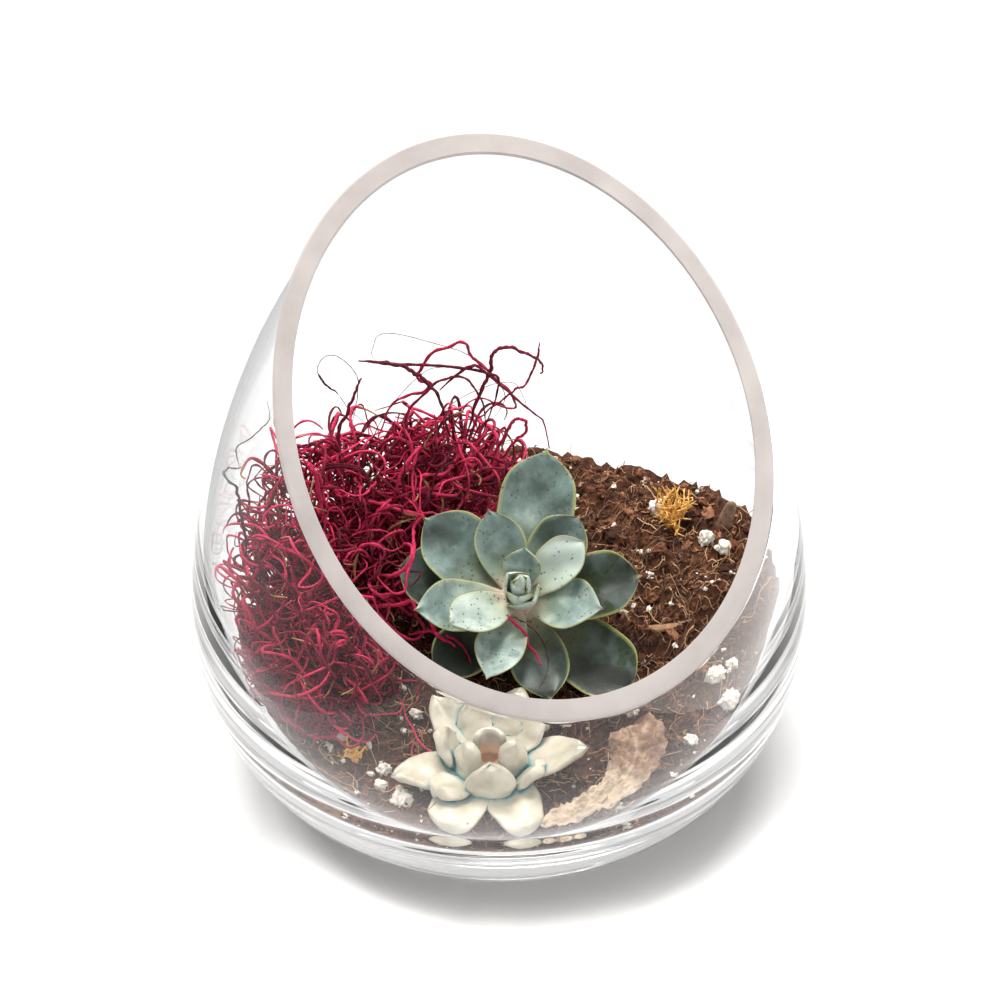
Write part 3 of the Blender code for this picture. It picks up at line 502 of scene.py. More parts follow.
def thread(line, thickness, sides):
    """A closed round thread along a line, drawn in to a point at both ends."""
    line = np.asarray(line, float)
    ways = np.gradient(line, axis=0)
    ways /= np.linalg.norm(ways, axis=1)[:, None] + 1e-12
    side = np.array((0.31, 0.22, 0.93))
    around = 2.0 * math.pi * np.arange(sides) / sides
    corners = [line[0] - ways[0] * thickness[0]]
    for point, way, radius in zip(line, ways, thickness):
        side = side - way * side.dot(way)
        side /= np.linalg.norm(side)
        other = np.cross(way, side)
        corners.extend(point + radius * (math.cos(a) * side + math.sin(a) * other)
                       for a in around)
    corners.append(line[-1] + ways[-1] * thickness[-1])
    faces = [(0, 1 + (k + 1) % sides, 1 + k) for k in range(sides)]
    for i in range(len(line) - 1):
        faces += ring_band(1 + i * sides, sides)
    last = 1 + (len(line) - 1) * sides
    end = last + sides
    faces += [(last + k, last + (k + 1) % sides, end) for k in range(sides)]
    return corners, faces


FIBRE_POINTS = 6
FIBRE_SHORTEST_MM = 1.6
FIBRE_GAIN_MM = 7.4
fibre_parts = []
for _ in range(COIR_FIBRES):
    x, y = spot_on_soil(dice)
    heading = dice.uniform(0.0, 2.0 * math.pi)
    bend = dice.gauss(0.0, 0.34)
    length = (FIBRE_SHORTEST_MM + FIBRE_GAIN_MM * dice.random() ** 1.8) * MM
    standing = max(0.0, dice.gauss(0.06, 0.34))
    line = []
    for i in range(FIBRE_POINTS):
        x += math.cos(heading) * length / (FIBRE_POINTS - 1)
        y += math.sin(heading) * length / (FIBRE_POINTS - 1)
        heading += bend
        rise = standing * length * (i / (FIBRE_POINTS - 1)) ** 1.6
        height = soil_height(x, y) + 0.30 * MM + rise
        if math.hypot(x, y) > inner_radius(height) - 1.0 * MM:
            break
        line.append((x, y, height))
    if len(line) > 3:
        radius = dice.uniform(0.06, 0.17) * MM
        points, polygons = thread(line, [radius] * len(line), 3)
        fibre_parts.append((points, polygons, [dice.random()] * len(points)))
fibre_corners, fibre_faces, fibre_tones = joined(fibre_parts)
fibres = planted("coir_fibres", fibre_corners, fibre_faces)
paint(fibres, "tone", fibre_tones)
coir, tree, shader = new_finish("coir_finish", 0.8)
fibre_age = worked(tree, 'ADD', painted(tree, "tone"),
                   worked(tree, 'MULTIPLY', cloud(tree, 600.0), 0.2))
coloured(tree, shader, stained(tree, fibre_age, (
    (0.1, (0.026, 0.010, 0.006)), (0.5, (0.115, 0.046, 0.020)), (0.85, (0.33, 0.16, 0.070)),
    (1.0, (0.57, 0.35, 0.18)))))
fibres.data.materials.append(coir)
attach(fibres, "root")

speck_corners, speck_faces, _ = scatter(dice, PERLITE_SPECKS, 2, 0.4, 2.6, 2.8, 0.3, 1.0)
specks = planted("perlite_specks", speck_corners, speck_faces, smooth=False)
white_rock, tree, shader = new_finish("perlite_finish", 0.9)
chalky = cloud(tree, 700.0, 6.0, 0.7)
coloured(tree, shader, stained(tree, chalky, (
    (0.3, (0.42, 0.36, 0.30)), (0.5, (0.76, 0.71, 0.63)), (0.7, (0.88, 0.86, 0.80)))))
roughened(tree, shader, chalky, 0.3 * MM, 0.7)
specks.data.materials.append(white_rock)
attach(specks, "root")

# ---------------------------------------------------------------------------------------------
# The echeveria. A live rosette of fleshy blue-green leaves with a waxy bloom, pale rims and
# pink points, on a short stem that is pressed into the soil and leans toward the low lip.
ROSETTE_TILT = math.radians(28.0)
LEAF_ROOT = 2.0 * MM
LEAF_THICKNESS = 2.6 * MM
LEAF_DIP = math.radians(4.0)
LEAF_CURL = math.radians(8.0)
LEAF_CUP = 0.26
LEAF_TAPER = 0.45
LEAF_WAVE = 0.9 * MM
LEAF_SIDES = 28
LEAF_TIP = 1.06
BUD_ROOT = 0.6 * MM
BUD_SINK_MM = 2.0
BUD_THICKNESS = 1.7 * MM
BUD_CURL = math.radians(26.0)
BUD_CUP = 0.60
BUD_SQUARE = 2.2
BUD_WAVE = 0.2 * MM
CROWN_SIZE = (5.2 * MM, 5.2 * MM, 7.0 * MM)
CROWN_HEIGHT = 3.4 * MM
STEM_RADIUS = 4.3 * MM
STEM_LENGTH = 20.0 * MM
STEM_TOP = 2.0 * MM
STEM_RINGS = 9
STEM_SIDES = 24
# Open leaves: azimuth, reach in mm, width in mm, lift in degrees, height of the root in mm,
# how pale the leaf is (darker on the low flat leaves, partly their own tone and partly painted
# shade), how wet, and how square its shoulders are
OPEN_LEAVES = (
    (80, 37.2, 18.9, 12, 0.5, 0.46, 0.1, 3.2), (140, 29.3, 18.2, 14, 2.0, 0.42, 0.0, 2.9),
    (110, 21.7, 12.6, 20, 3.5, 0.50, 0.0, 2.1), (53, 23.2, 14.0, 20, 3.5, 0.40, 0.3, 3.2),
    (35, 18.3, 11.4, 32, 6.0, 1.20, 0.0, 2.9), (10, 28.8, 17.0, 12, 1.5, 0.14, 1.0, 3.4),
    (-16, 19.8, 13.6, 26, 5.0, 0.66, 0.2, 2.1), (-39, 34.0, 17.8, 6, 0.0, 0.02, 0.9, 4.4),
    (-74, 26.2, 14.4, 10, 1.5, 0.18, 0.5, 2.5), (-109, 23.6, 12.2, 22, 4.0, 0.74, 0.0, 1.9),
    (-146, 19.6, 11.4, 34, 6.5, 0.95, 0.0, 2.7), (-168, 24.9, 13.8, 20, 3.5, 0.60, 0.0, 2.2),
    (164, 29.8, 17.6, 9, 0.5, 0.16, 0.1, 3.4), (-139, 26.5, 14.4, 5, 0.0, -0.05, 0.2, 3.0),
    (84, 8.8, 9.4, 50, 8.0, 0.72, 0.0, 2.2),
)
# Leaves of the closed bud, with the same first five values
BUD_LEAVES = (
    (140, 5.2, 8.6, 60, 7.8), (-52, 6.4, 9.4, 52, 6.6), (-95, 5.6, 7.0, 60, 7.8),
    (30, 3.6, 6.0, 70, 9.0), (-125, 3.0, 5.2, 72, 9.4), (75, 2.2, 4.2, 78, 10.2),
    (-60, 1.9, 3.6, 80, 10.4),
)


def leaf_outline(along, square):
    """Half width of an echeveria leaf: narrow root, broad shoulders, a drawn-out point."""
    widest = 0.60
    if along < widest:
        return 0.40 + 0.60 * math.sin(0.5 * math.pi * along / widest) ** 1.35
    past = min(1.0, (along - widest) / (LEAF_TIP - widest))
    body = 1.0 - min(1.0, past / 0.93) ** (square + 0.3)
    return max(0.004, body, 0.8 * (1.0 - past))


def leaf_skin(side, upper):
    """Height of a leaf's skin over its middle sheet, as a share of its thickness."""
    full = math.sqrt(max(0.0, 1.0 - side * side))
    if upper:
        return 0.35 * full
    return -0.75 * full ** 1.15


def closed_rings(rows, sides):
    """The faces of a closed form made of rings, with a flat end on its first and last."""
    faces = [tuple(range(sides - 1, -1, -1))]
    for i in range(rows - 1):
        faces += ring_band(i * sides, sides)
    return faces + [tuple(range((rows - 1) * sides, rows * sides))]


def blade(azimuth, lift, length, width, thickness, height, root, curl, cup, outline, form,
          skin, taper, stations, sides, wave, seed):
    """One blade that leaves the axis at a height, climbs at an angle and curls along it."""
    turn = np.array(Matrix.Rotation(azimuth, 3, 'Z'))
    corners, alongs, edges = [], [], []
    for along in stations:
        slope = lift + curl * along
        chord = lift + 0.5 * curl * along
        out = root + length * along * math.cos(chord)
        up = height + length * along * math.sin(chord)
        half = 0.5 * width * outline(along, form)
        thick = thickness * (1.0 - taper * min(1.0, along)) * min(1.0, outline(along, form) * 2.4)
        for k in range(sides):
            around = 2.0 * math.pi * k / sides
            side = math.cos(around)
            rise = cup * half * side * side + skin(side, math.sin(around) > 0.0) * thick
            swell = wave * noise.noise(Vector((9.0 * seed, 3.0 * along, 1.3 * side)))
            swell *= min(1.0, 3.0 * along)
            rise += swell
            corners.append((out - rise * math.sin(slope), half * side,
                            up + rise * math.cos(slope)))
            alongs.append(along)
            edges.append(abs(side))
    return np.array(corners) @ turn.T, closed_rings(len(stations), sides), alongs, edges


def share_of(tree, value, low, high, most=1.0, least=0.0):
    """A share that grows from its least at one value to its most at another."""
    spread = tree.nodes.new("ShaderNodeMapRange")
    spread.inputs["From Min"].default_value = low
    spread.inputs["From Max"].default_value = high
    spread.inputs["To Min"].default_value = least
    spread.inputs["To Max"].default_value = most
    tree.links.new(value, spread.inputs["Value"])
    return spread.outputs["Result"]


def layered(tree, colour, layers):
    """Plain colours laid over a first one in turn, each by its share."""
    for share, over in layers:
        mix = tree.nodes.new("ShaderNodeMix")
        mix.data_type = 'RGBA'
        tree.links.new(share, mix.inputs["Factor"])
        tree.links.new(colour, mix.inputs[6])
        mix.inputs[7].default_value = (*over, 1.0)
        colour = mix.outputs[2]
    return colour


def stations(tip, count):
    """Where the rings of a blade lie along it, closer together near its tip."""
    return list(np.linspace(0.0, 0.84, 22)) + list(np.linspace(0.86, tip, count))


def leaned(corners, tilt, place):
    """Points leaned over toward the low lip and set in their place."""
    turn = np.array(Matrix.Rotation(tilt, 3, 'X'))
    return np.array([tuple(c) for c in corners]) @ turn.T + np.array(place)


leaf_stations = stations(LEAF_TIP, 16)
leaf_parts = []


def add_leaf(pale, wet, *shape):
    corners, faces, alongs, edges = blade(*shape)
    leaf_parts.append((corners, faces, alongs, edges, [pale] * len(corners),
                       [wet] * len(corners)))


for i, (azimuth, reach, width, lift, height, pale, wet, square) in enumerate(OPEN_LEAVES):
    angle = math.radians(lift)
    add_leaf(pale, wet, math.radians(azimuth), angle - LEAF_DIP,
             (reach * MM - LEAF_ROOT) / math.cos(angle), width * MM, LEAF_THICKNESS, height * MM,
             LEAF_ROOT, LEAF_CURL, LEAF_CUP, leaf_outline, square, leaf_skin, LEAF_TAPER,
             leaf_stations, LEAF_SIDES, LEAF_WAVE, i)
for i, (azimuth, reach, width, lift, height) in enumerate(BUD_LEAVES):
    angle = math.radians(lift)
    add_leaf(0.9, 0.0, math.radians(azimuth), angle, reach * MM / math.cos(angle), width * MM,
             BUD_THICKNESS, (height - BUD_SINK_MM) * MM, BUD_ROOT, BUD_CURL, BUD_CUP, leaf_outline,
             BUD_SQUARE, leaf_skin, LEAF_TAPER, leaf_stations, LEAF_SIDES, BUD_WAVE, i + 20)
crown_points, crown_faces = ball_pattern(3)
crown_points = crown_points * CROWN_SIZE + (0.0, 0.0, CROWN_HEIGHT)
stem_line = [(0.0, 0.0, STEM_TOP - STEM_LENGTH * i / (STEM_RINGS - 1)) for i in range(STEM_RINGS)]
stem_points, stem_faces = thread(
    stem_line, [STEM_RADIUS * (1.0 - 0.02 * i) for i in range(STEM_RINGS)], STEM_SIDES)
for points, polygons, along, pale in ((crown_points, crown_faces, 0.0, 0.6),
                                      (stem_points, stem_faces, 0.4, 0.05)):
    leaf_parts.append((points, polygons, *([value] * len(points)
                                           for value in (along, 0.0, pale, 0.0))))
leaf_corners, leaf_faces, *leaf_marks = joined(leaf_parts)
leaf_corners = leaned(leaf_corners, ROSETTE_TILT, ROSETTE_PLACE)
rosette = planted("echeveria_rosette", leaf_corners, leaf_faces)
for mark, values in zip(("along", "edge", "pale", "wet"), leaf_marks):
    paint(rosette, mark, values)

leaf_green, tree, shader = new_finish(
    "echeveria_leaf_finish", 0.5, Specular_IOR_Level=0.28, Subsurface_Weight=0.12,
    Subsurface_Scale=1.5 * MM)
along = painted(tree, "along")
bloom = cloud(tree, 130.0, 5.0, 0.6)
margin = worked(tree, 'POWER', painted(tree, "edge"), 3.0)
# Each leaf's paleness: its own tone, with painted shade on the low flat leaves, under a cloudy
# bloom
paleness = worked(tree, 'ADD', painted(tree, "pale"), worked(
    tree, 'MULTIPLY', worked(tree, 'SUBTRACT', bloom, 0.5), 1.3))
# Lighter toward the margins and darker in the middle: painted shading across each leaf
paleness = worked(tree, 'ADD', paleness, worked(tree, 'MULTIPLY', margin, 0.14))
wetness = worked(tree, 'MULTIPLY', painted(tree, "wet"),
                 share_of(tree, worked(tree, 'ADD', cloud(tree, 95.0, 3.0), worked(
                     tree, 'MULTIPLY', painted(tree, "edge"), 0.14)), 0.56, 0.62))
skin_tone = stained(tree, paleness, (
    (0.0, (0.013, 0.019, 0.012)), (0.35, (0.060, 0.091, 0.080)),
    (0.65, (0.160, 0.232, 0.212)), (1.0, (0.46, 0.54, 0.485))))
rim = worked(tree, 'MULTIPLY', share_of(tree, painted(tree, "edge"), 0.88, 0.99, 0.85),
             share_of(tree, along, 0.15, 0.45))
rim = worked(tree, 'MAXIMUM', rim, share_of(tree, along, 1.0, 1.03, 0.8))
freckle = tree.nodes.new("ShaderNodeTexVoronoi")
freckle.inputs["Scale"].default_value = 780.0
freckle_place = tree.nodes.new("ShaderNodeTexCoord")
tree.links.new(freckle_place.outputs["Object"], freckle.inputs["Vector"])
freckles = worked(tree, 'MULTIPLY', share_of(tree, freckle.outputs["Distance"], 0.26, 0.16, 0.8),
                  share_of(tree, cloud(tree, 330.0), 0.47, 0.54))
coloured(tree, shader, layered(tree, skin_tone, (
    (worked(tree, 'MULTIPLY', wetness, 0.75), (0.022, 0.036, 0.014)),
    (share_of(tree, along, 0.62, 0.22, 0.45), (0.30, 0.34, 0.19)),
    (share_of(tree, along, 0.30, 0.08, 0.8), (0.58, 0.44, 0.33)),
    (rim, (0.31, 0.33, 0.11)),
    (share_of(tree, along, 1.025, 1.05, 0.85), (0.46, 0.19, 0.12)),
    (freckles, (0.05, 0.035, 0.03)))))
tree.links.new(share_of(tree, wetness, 0.0, 1.0, 0.22, 0.5), shader.inputs["Roughness"])
roughened(tree, shader, cloud(tree, 1500.0, 3.0), 0.05 * MM, 0.25)
rosette.data.materials.append(leaf_green)
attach(rosette, "root")
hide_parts("echeveria")

# ---------------------------------------------------------------------------------------------
# The ceramic flower. Petals pinched by hand from clay are pressed around a short tube, fired,
# and dipped in cream glaze, which breaks to turquoise where it pools between them.
FLOWER_TILT = math.radians(3.0)
FLOWER_BASE_RADIUS = 8.5 * MM
FLOWER_BASE_HEIGHT = 2.4 * MM
PETAL_THICKNESS = 3.4 * MM
TUBE_RADIUS = 3.9 * MM
TUBE_HOLE = 2.6 * MM
TUBE_TOP = 12.0 * MM
TUBE_LIP_DROP = 0.4 * MM
TUBE_FLARE = 1.2 * MM
TUBE_STEPS = 64
HOLE_FLOOR = 2.6 * MM
PETAL_SIDES = 28
PETAL_CUP = 0.16
PETAL_TAPER = 0.12
PETAL_WAVE = 1.1 * MM
PRESS_DEPTH_MM = 0.16
PRESS_SIZE_MM = 2.4
POOL_REACH = 3.2 * MM
POOL_RAYS = 12
# Inside the hole: bare clay toward the bottom, blending up into a band of painted shade
BARE_AND_SHADE_TOP = 9.0 * MM
BARE_AND_SHADE_BLEND = 4.5 * MM
# Clay petals in mm: azimuth in degrees, radius of the root, reach of the tip, height of the
# root, height of the tip, width, how far the petal bends up in degrees, and how blunt it is
CLAY_PETALS = (
    (-162, 4.0, 24.6, 0.8, 5.6, 12.4, 8, 0.12), (-118, 4.0, 22.4, 0.0, 2.2, 13.2, 4, 0.80),
    (-66, 4.0, 22.8, 0.0, 2.2, 13.4, 4, 0.50), (-5, 4.0, 23.5, 0.8, 9.8, 13.0, 12, 0.14),
    (131, 4.0, 20.8, 0.8, 11.0, 12.4, 12, 0.14), (104, 4.0, 15.8, 1.2, 10.0, 11.5, 16, 0.40),
    (65, 4.0, 18.0, 0.8, 12.6, 12.0, 16, 0.20), (37, 4.0, 15.6, 1.2, 10.6, 10.5, 16, 0.55),
    (-134, 8.0, 18.2, 1.6, 6.0, 9.6, 10, 0.60), (176, 7.4, 12.6, 1.6, 12.8, 10.8, 30, 0.30),
    (-36, 9.0, 14.6, 0.4, 10.6, 9.2, 26, 0.50), (-89, 10.6, 9.8, 0.2, 13.2, 12.4, 34, 0.12),
    (-142, 8.4, 5.2, 1.4, 13.0, 9.0, 14, 0.30), (-34, 8.6, 5.2, 1.4, 13.6, 9.4, 14, 0.28),
)


def petal_outline(along, blunt):
    """Half width of a clay petal: broad root, full sides, and a blunt or pinched end."""
    widest = 0.50
    if along < widest:
        return 0.66 + 0.34 * math.sin(0.5 * math.pi * along / widest)
    past = min(1.0, (along - widest) / (1.0 - widest))
    taper = 1.0 - (1.0 - blunt) * past ** (1.5 + blunt)
    return taper * math.sqrt(max(0.0, 1.0 - max(0.0, (along - 0.86) / 0.145) ** 2.4))


def petal_skin(side, upper):
    full = math.sqrt(max(0.0, 1.0 - side * side)) ** 0.75
    return 0.5 * full if upper else -0.5 * full


def turned(profile, steps):
    """A round thing thrown from its profile of radius and height, closed on its axis."""
    corners = []
    for k in range(steps):
        around = 2.0 * math.pi * k / steps
        corners += [(r * math.cos(around), r * math.sin(around), h) for r, h in profile[1:-1]]
    rows = len(profile) - 2
    low, high = len(corners), len(corners) + 1
    corners += [(0.0, 0.0, profile[0][1]), (0.0, 0.0, profile[-1][1])]
    faces = []
    for k in range(steps):
        here, there = k * rows, (k + 1) % steps * rows
        faces += [(here + j + 1, there + j + 1, there + j, here + j) for j in range(rows - 1)]
        faces += [(low, here, there), (high, there + rows - 1, here + rows - 1)]
    return corners, faces


tube_profile = ((0.0, HOLE_FLOOR), (TUBE_HOLE, HOLE_FLOOR), (TUBE_HOLE, TUBE_TOP),
                (TUBE_RADIUS, TUBE_TOP - TUBE_LIP_DROP), (TUBE_RADIUS + TUBE_FLARE, 0.0),
                (FLOWER_BASE_RADIUS, 0.0), (FLOWER_BASE_RADIUS, -FLOWER_BASE_HEIGHT),
                (0.0, -FLOWER_BASE_HEIGHT))
clay_corners, clay_faces = turned(tube_profile, TUBE_STEPS)
for i, (x, y, z) in enumerate(clay_corners):
    if z > HOLE_FLOOR + 0.2 * MM:
        back = 0.5 + 0.5 * math.sin(math.atan2(y, x))
        z = HOLE_FLOOR + (z - HOLE_FLOOR) * (0.20 + 0.80 * smooth_step(1.6 * back - 0.1))
        clay_corners[i] = (x, y, z)
petal_stations = stations(1.004, 12)
for i, (azimuth, root, reach, low, high, width, bend, blunt) in enumerate(CLAY_PETALS):
    chord = math.atan2(high - low, reach - root)
    corners, faces, _, _ = blade(
        math.radians(azimuth), chord - 0.5 * math.radians(bend),
        math.hypot(high - low, reach - root) * MM, width * MM, PETAL_THICKNESS, low * MM,
        root * MM, math.radians(bend), PETAL_CUP, petal_outline, blunt, petal_skin, PETAL_TAPER,
        petal_stations, PETAL_SIDES, PETAL_WAVE, i + 40)
    add_shell(clay_corners, clay_faces, corners, faces)
pressed = []
for corner in leaned(clay_corners, FLOWER_TILT, FLOWER_PLACE):
    spot = Vector(corner) / MM
    dent = [PRESS_DEPTH_MM * noise.noise(spot / PRESS_SIZE_MM + Vector((31.0 * axis, 0.0, 0.0)))
            for axis in range(3)]
    pressed.append((spot + Vector(dent)) * MM)
flower = planted("ceramic_flower_glazed", pressed, clay_faces)


def hollow_shares(piece, reach, rays):
    """How closed in each point of a mesh is, from rays that leave it in all directions."""
    mesh = piece.data
    depth_tree = bvhtree.BVHTree.FromPolygons(
        [v.co for v in mesh.vertices], [tuple(p.vertices) for p in mesh.polygons])
    fan = [Vector((math.cos(2.4 * i) * math.sqrt(1.0 - h * h),
                   math.sin(2.4 * i) * math.sqrt(1.0 - h * h), h))
           for i, h in enumerate(0.15 + 0.8 * (k + 0.5) / rays for k in range(rays))]
    shares = []
    for vertex in mesh.vertices:
        spin = vertex.normal.to_track_quat('Z', 'Y')
        start = vertex.co + vertex.normal * (0.06 * MM)
        met = 0.0
        for way in fan:
            found = depth_tree.ray_cast(start, spin @ way, reach)
            if found[0] is not None:
                met += 1.0 - 0.5 * found[3] / reach
        shares.append(met / rays)
    return shares


paint(flower, "closed_in", hollow_shares(flower, POOL_REACH, POOL_RAYS))
middle_line = PLANTING_TURN @ FLOWER_PLACE
# Inside the hole: bare tan clay toward the bottom, and above it a band darkened as painted shade
bare_clay_and_shade = []
for vertex in flower.data.vertices:
    above = vertex.co.z - FLOWER_PLACE.z
    inside = (vertex.co - middle_line).xy.length < TUBE_HOLE + 0.5 * MM
    bare_clay_and_shade.append(smooth_step((BARE_AND_SHADE_TOP - above) / BARE_AND_SHADE_BLEND) if inside else 0.0)
paint(flower, "unglazed_and_shade", bare_clay_and_shade)
glaze, tree, shader = new_finish("cream_glaze_finish", 0.28, Coat_Weight=0.35, Coat_Roughness=0.08)
milky = cloud(tree, 160.0, 4.0)
pooled = worked(tree, 'ADD', painted(tree, "closed_in"), worked(
    tree, 'MULTIPLY', worked(tree, 'SUBTRACT', cloud(tree, 320.0, 3.0), 0.5), 0.35))
glaze_tone = stained(tree, milky, (
    (0.30, (0.37, 0.345, 0.265)), (0.50, (0.53, 0.480, 0.375)), (0.70, (0.66, 0.61, 0.52))))
# Turquoise where the glaze pools, then a dark grey-brown band of painted shade high in the hole,
# and bare tan clay below it
coloured(tree, shader, layered(tree, glaze_tone, (
    (share_of(tree, pooled, 0.24, 0.42, 0.8), (0.20, 0.38, 0.38)),
    (share_of(tree, pooled, 0.42, 0.62), (0.03, 0.17, 0.20)),
    (share_of(tree, painted(tree, "unglazed_and_shade"), 0.0, 0.25, 0.75), (0.16, 0.12, 0.09)),
    (share_of(tree, painted(tree, "unglazed_and_shade"), 0.3, 0.9), (0.56, 0.33, 0.19)))))
roughened(tree, shader, milky, 0.2 * MM, 0.15)
flower.data.materials.append(glaze)
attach(flower, "root")
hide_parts("ceramic_flower")

# ---------------------------------------------------------------------------------------------
# The moss. Dried moss of long kinked strands, dyed burgundy, teased apart and heaped by hand
# behind and to the left of the rosette. Some tips have missed the dye.
# Lumps of the heap: the middle of each in mm and its half sizes in mm
MOSS_LUMPS = (
    ((-45, -19, 32), (18, 16, 14)), ((-52, 0, 42), (13, 17, 19)), ((-33, 8, 40), (17, 16, 16)),
    ((-45, 22, 50), (16, 16, 20)), ((-27, 28, 50), (17, 15, 19)), ((-11, 33, 50), (15, 13, 17)),
)
# How much denser or looser each lump is than the rest
MOSS_SHARES = (1.35, 1.0, 1.15, 0.95, 1.1, 0.9)
STRANDS_A_LUMP = 210
STRAND_POINTS = 30
STRAND_STEP = 1.15 * MM
STRAND_RADII_MM = (0.26, 0.32, 0.38, 0.44, 0.54)
TURN_RATE = 0.24
KINK_CHANCE = 0.07
LEAF_SEARCH = 7.0 * MM
LEAF_TOUCH = 2.2 * MM
OFF_THE_LEAVES = 0.25 * MM
OFF_THE_WALL = 0.5 * MM
MOSS_SEED = 11
leaf_tree = bvhtree.BVHTree.FromPolygons(
    [Vector(c) for c in leaf_corners], [tuple(face) for face in leaf_faces])


def clear_of_leaves(point, margin):
    """Push a point out of the leaves, or off them by a margin."""
    nearest, normal, _, distance = leaf_tree.find_nearest(point, LEAF_SEARCH)
    if nearest is None:
        return point
    away = point - nearest
    if away.dot(normal) < 0.0:
        return nearest + normal * margin
    if distance < margin:
        return nearest + away.normalized() * margin
    return point


def clear_of_glass(point, margin):
    radius = math.hypot(point.x, point.y)
    limit = inner_radius(max(point.z, CAVITY_FLOOR)) - margin
    if radius > limit:
        point.x *= limit / radius
        point.y *= limit / radius
    return point


def clear_of_ground(point, margin):
    point.z = max(point.z, soil_height(point.x, point.y) + margin)
    return point


def settled(line, radius):
    """A strand kept off the leaves, the glass and the soil."""
    kept = []
    for point in line:
        point = clear_of_leaves(Vector(point), radius + OFF_THE_LEAVES)
        point = clear_of_glass(point, radius + OFF_THE_WALL)
        kept.append(clear_of_ground(point, 0.6 * radius))
    return kept


def eased(line):
    """The same line with its corners rubbed down a little."""
    return [line[0]] + [(a + 2.0 * b + c) / 4.0 for a, b, c in
                        zip(line, line[1:], line[2:])] + [line[-1]]


def any_way(dice):
    return Vector((dice.gauss(0.0, 1.0), dice.gauss(0.0, 1.0), dice.gauss(0.0, 1.0))).normalized()


def moss_line(dice, centre, half, count, keep):
    """A strand that wanders through a lump, kinks now and then, and keeps to one depth."""
    depth = dice.uniform(0.45, 1.0)
    at = any_way(dice) * depth
    point = Vector([(c + h * a) * MM for c, h, a in zip(centre, half, at)])
    way = at.cross(any_way(dice)).normalized()
    line = []
    for i in range(count):
        if i % dice.choice((4, 5, 7)) == 0:
            pivot = any_way(dice)
            rate = dice.gauss(0.0, TURN_RATE)
        if dice.random() < KINK_CHANCE:
            way = (way + 0.9 * any_way(dice)).normalized()
        way.rotate(Matrix.Rotation(rate, 3, pivot))
        arm = Vector([(p / MM - c) / h for p, c, h in zip(point, centre, half)])
        outness = arm.length - keep
        way = (way - arm.normalized() * max(-0.25, min(0.45, 0.9 * outness))).normalized()
        point = point + way * STRAND_STEP
        line.append(point)
    return line


def cut_at_leaves(line):
    """The part of a strand before it meets the upper side of a leaf."""
    kept = []
    for point in line:
        nearest, normal, _, _ = leaf_tree.find_nearest(point, LEAF_TOUCH)
        if nearest is not None and normal.z > 0.15:
            break
        kept.append(point)
    return kept


def strand_mesh(dice, line, radius, sides, bare, dye_and_shade):
    """A strand: points, faces, how bright it is, and its bareness toward the tip."""
    line = eased(settled(line, radius))
    count = len(line)
    swell = dice.uniform(0.0, 6.28)
    thickness = []
    for i in range(count):
        along = i / (count - 1)
        taper = min(1.0, 0.35 + 5.0 * along) * (1.0 - 0.62 * along ** 3)
        thickness.append(radius * taper * (1.0 + 0.16 * math.sin(1.7 * i + swell)))
    corners, faces = thread(line, thickness, sides)
    ages = [0.0] + [i / (count - 1) for i in range(count) for _ in range(sides)] + [1.0]
    undyed = [bare * max(0.0, (age - 0.72) / 0.28) for age in ages]
    return corners, faces, [dye_and_shade] * len(corners), undyed


def moss_piece(name, strands, finish):
    corners, faces, dye_and_shade_values, undyed = joined(strands)
    piece = planted(name, corners, faces)
    paint(piece, "dye_and_shade", dye_and_shade_values)
    paint(piece, "undyed", undyed)
    piece.data.materials.append(finish)
    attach(piece, "root")
    return piece


dyed, tree, shader = new_finish("dyed_moss_finish", 0.75, Specular_IOR_Level=0.15)
furry = cloud(tree, 800.0, 4.0, 0.65)
# Each strand's own dye, darker for strands deep in the heap as painted shade, with furry noise
dye_and_shade_depth = worked(tree, 'ADD', painted(tree, "dye_and_shade"), worked(
    tree, 'MULTIPLY', worked(tree, 'SUBTRACT', furry, 0.5), 0.8))
moss_tone = stained(tree, dye_and_shade_depth, (
    (0.05, (0.026, 0.004, 0.007)), (0.40, (0.135, 0.005, 0.021)),
    (0.70, (0.310, 0.009, 0.042)), (1.0, (0.54, 0.028, 0.090))))
coloured(tree, shader, layered(tree, moss_tone, (
    (painted(tree, "undyed"), (0.42, 0.34, 0.12)),)))
roughened(tree, shader, furry, 0.25 * MM, 0.7)

dice = random.Random(MOSS_SEED)
tufts = []
for (centre, half), share in zip(MOSS_LUMPS, MOSS_SHARES):
    for _ in range(int(STRANDS_A_LUMP * share)):
        radius = dice.choice(STRAND_RADII_MM) * MM
        count = dice.randint(18, STRAND_POINTS)
        # How deep in its lump a strand stays; the deeper ones are made darker below, as painted
        # shade
        keep = dice.uniform(0.58, 1.12)
        line = cut_at_leaves(moss_line(dice, centre, half, count, keep))
        if len(line) > 7:
            tufts.append(strand_mesh(dice, line, radius, 4,
                                     dice.choice((0.0, 0.0, 0.0, 0.0, 0.9)),
                                     dice.uniform(0.18, 1.20) * min(1.0, 0.3 + 0.8 * keep)))
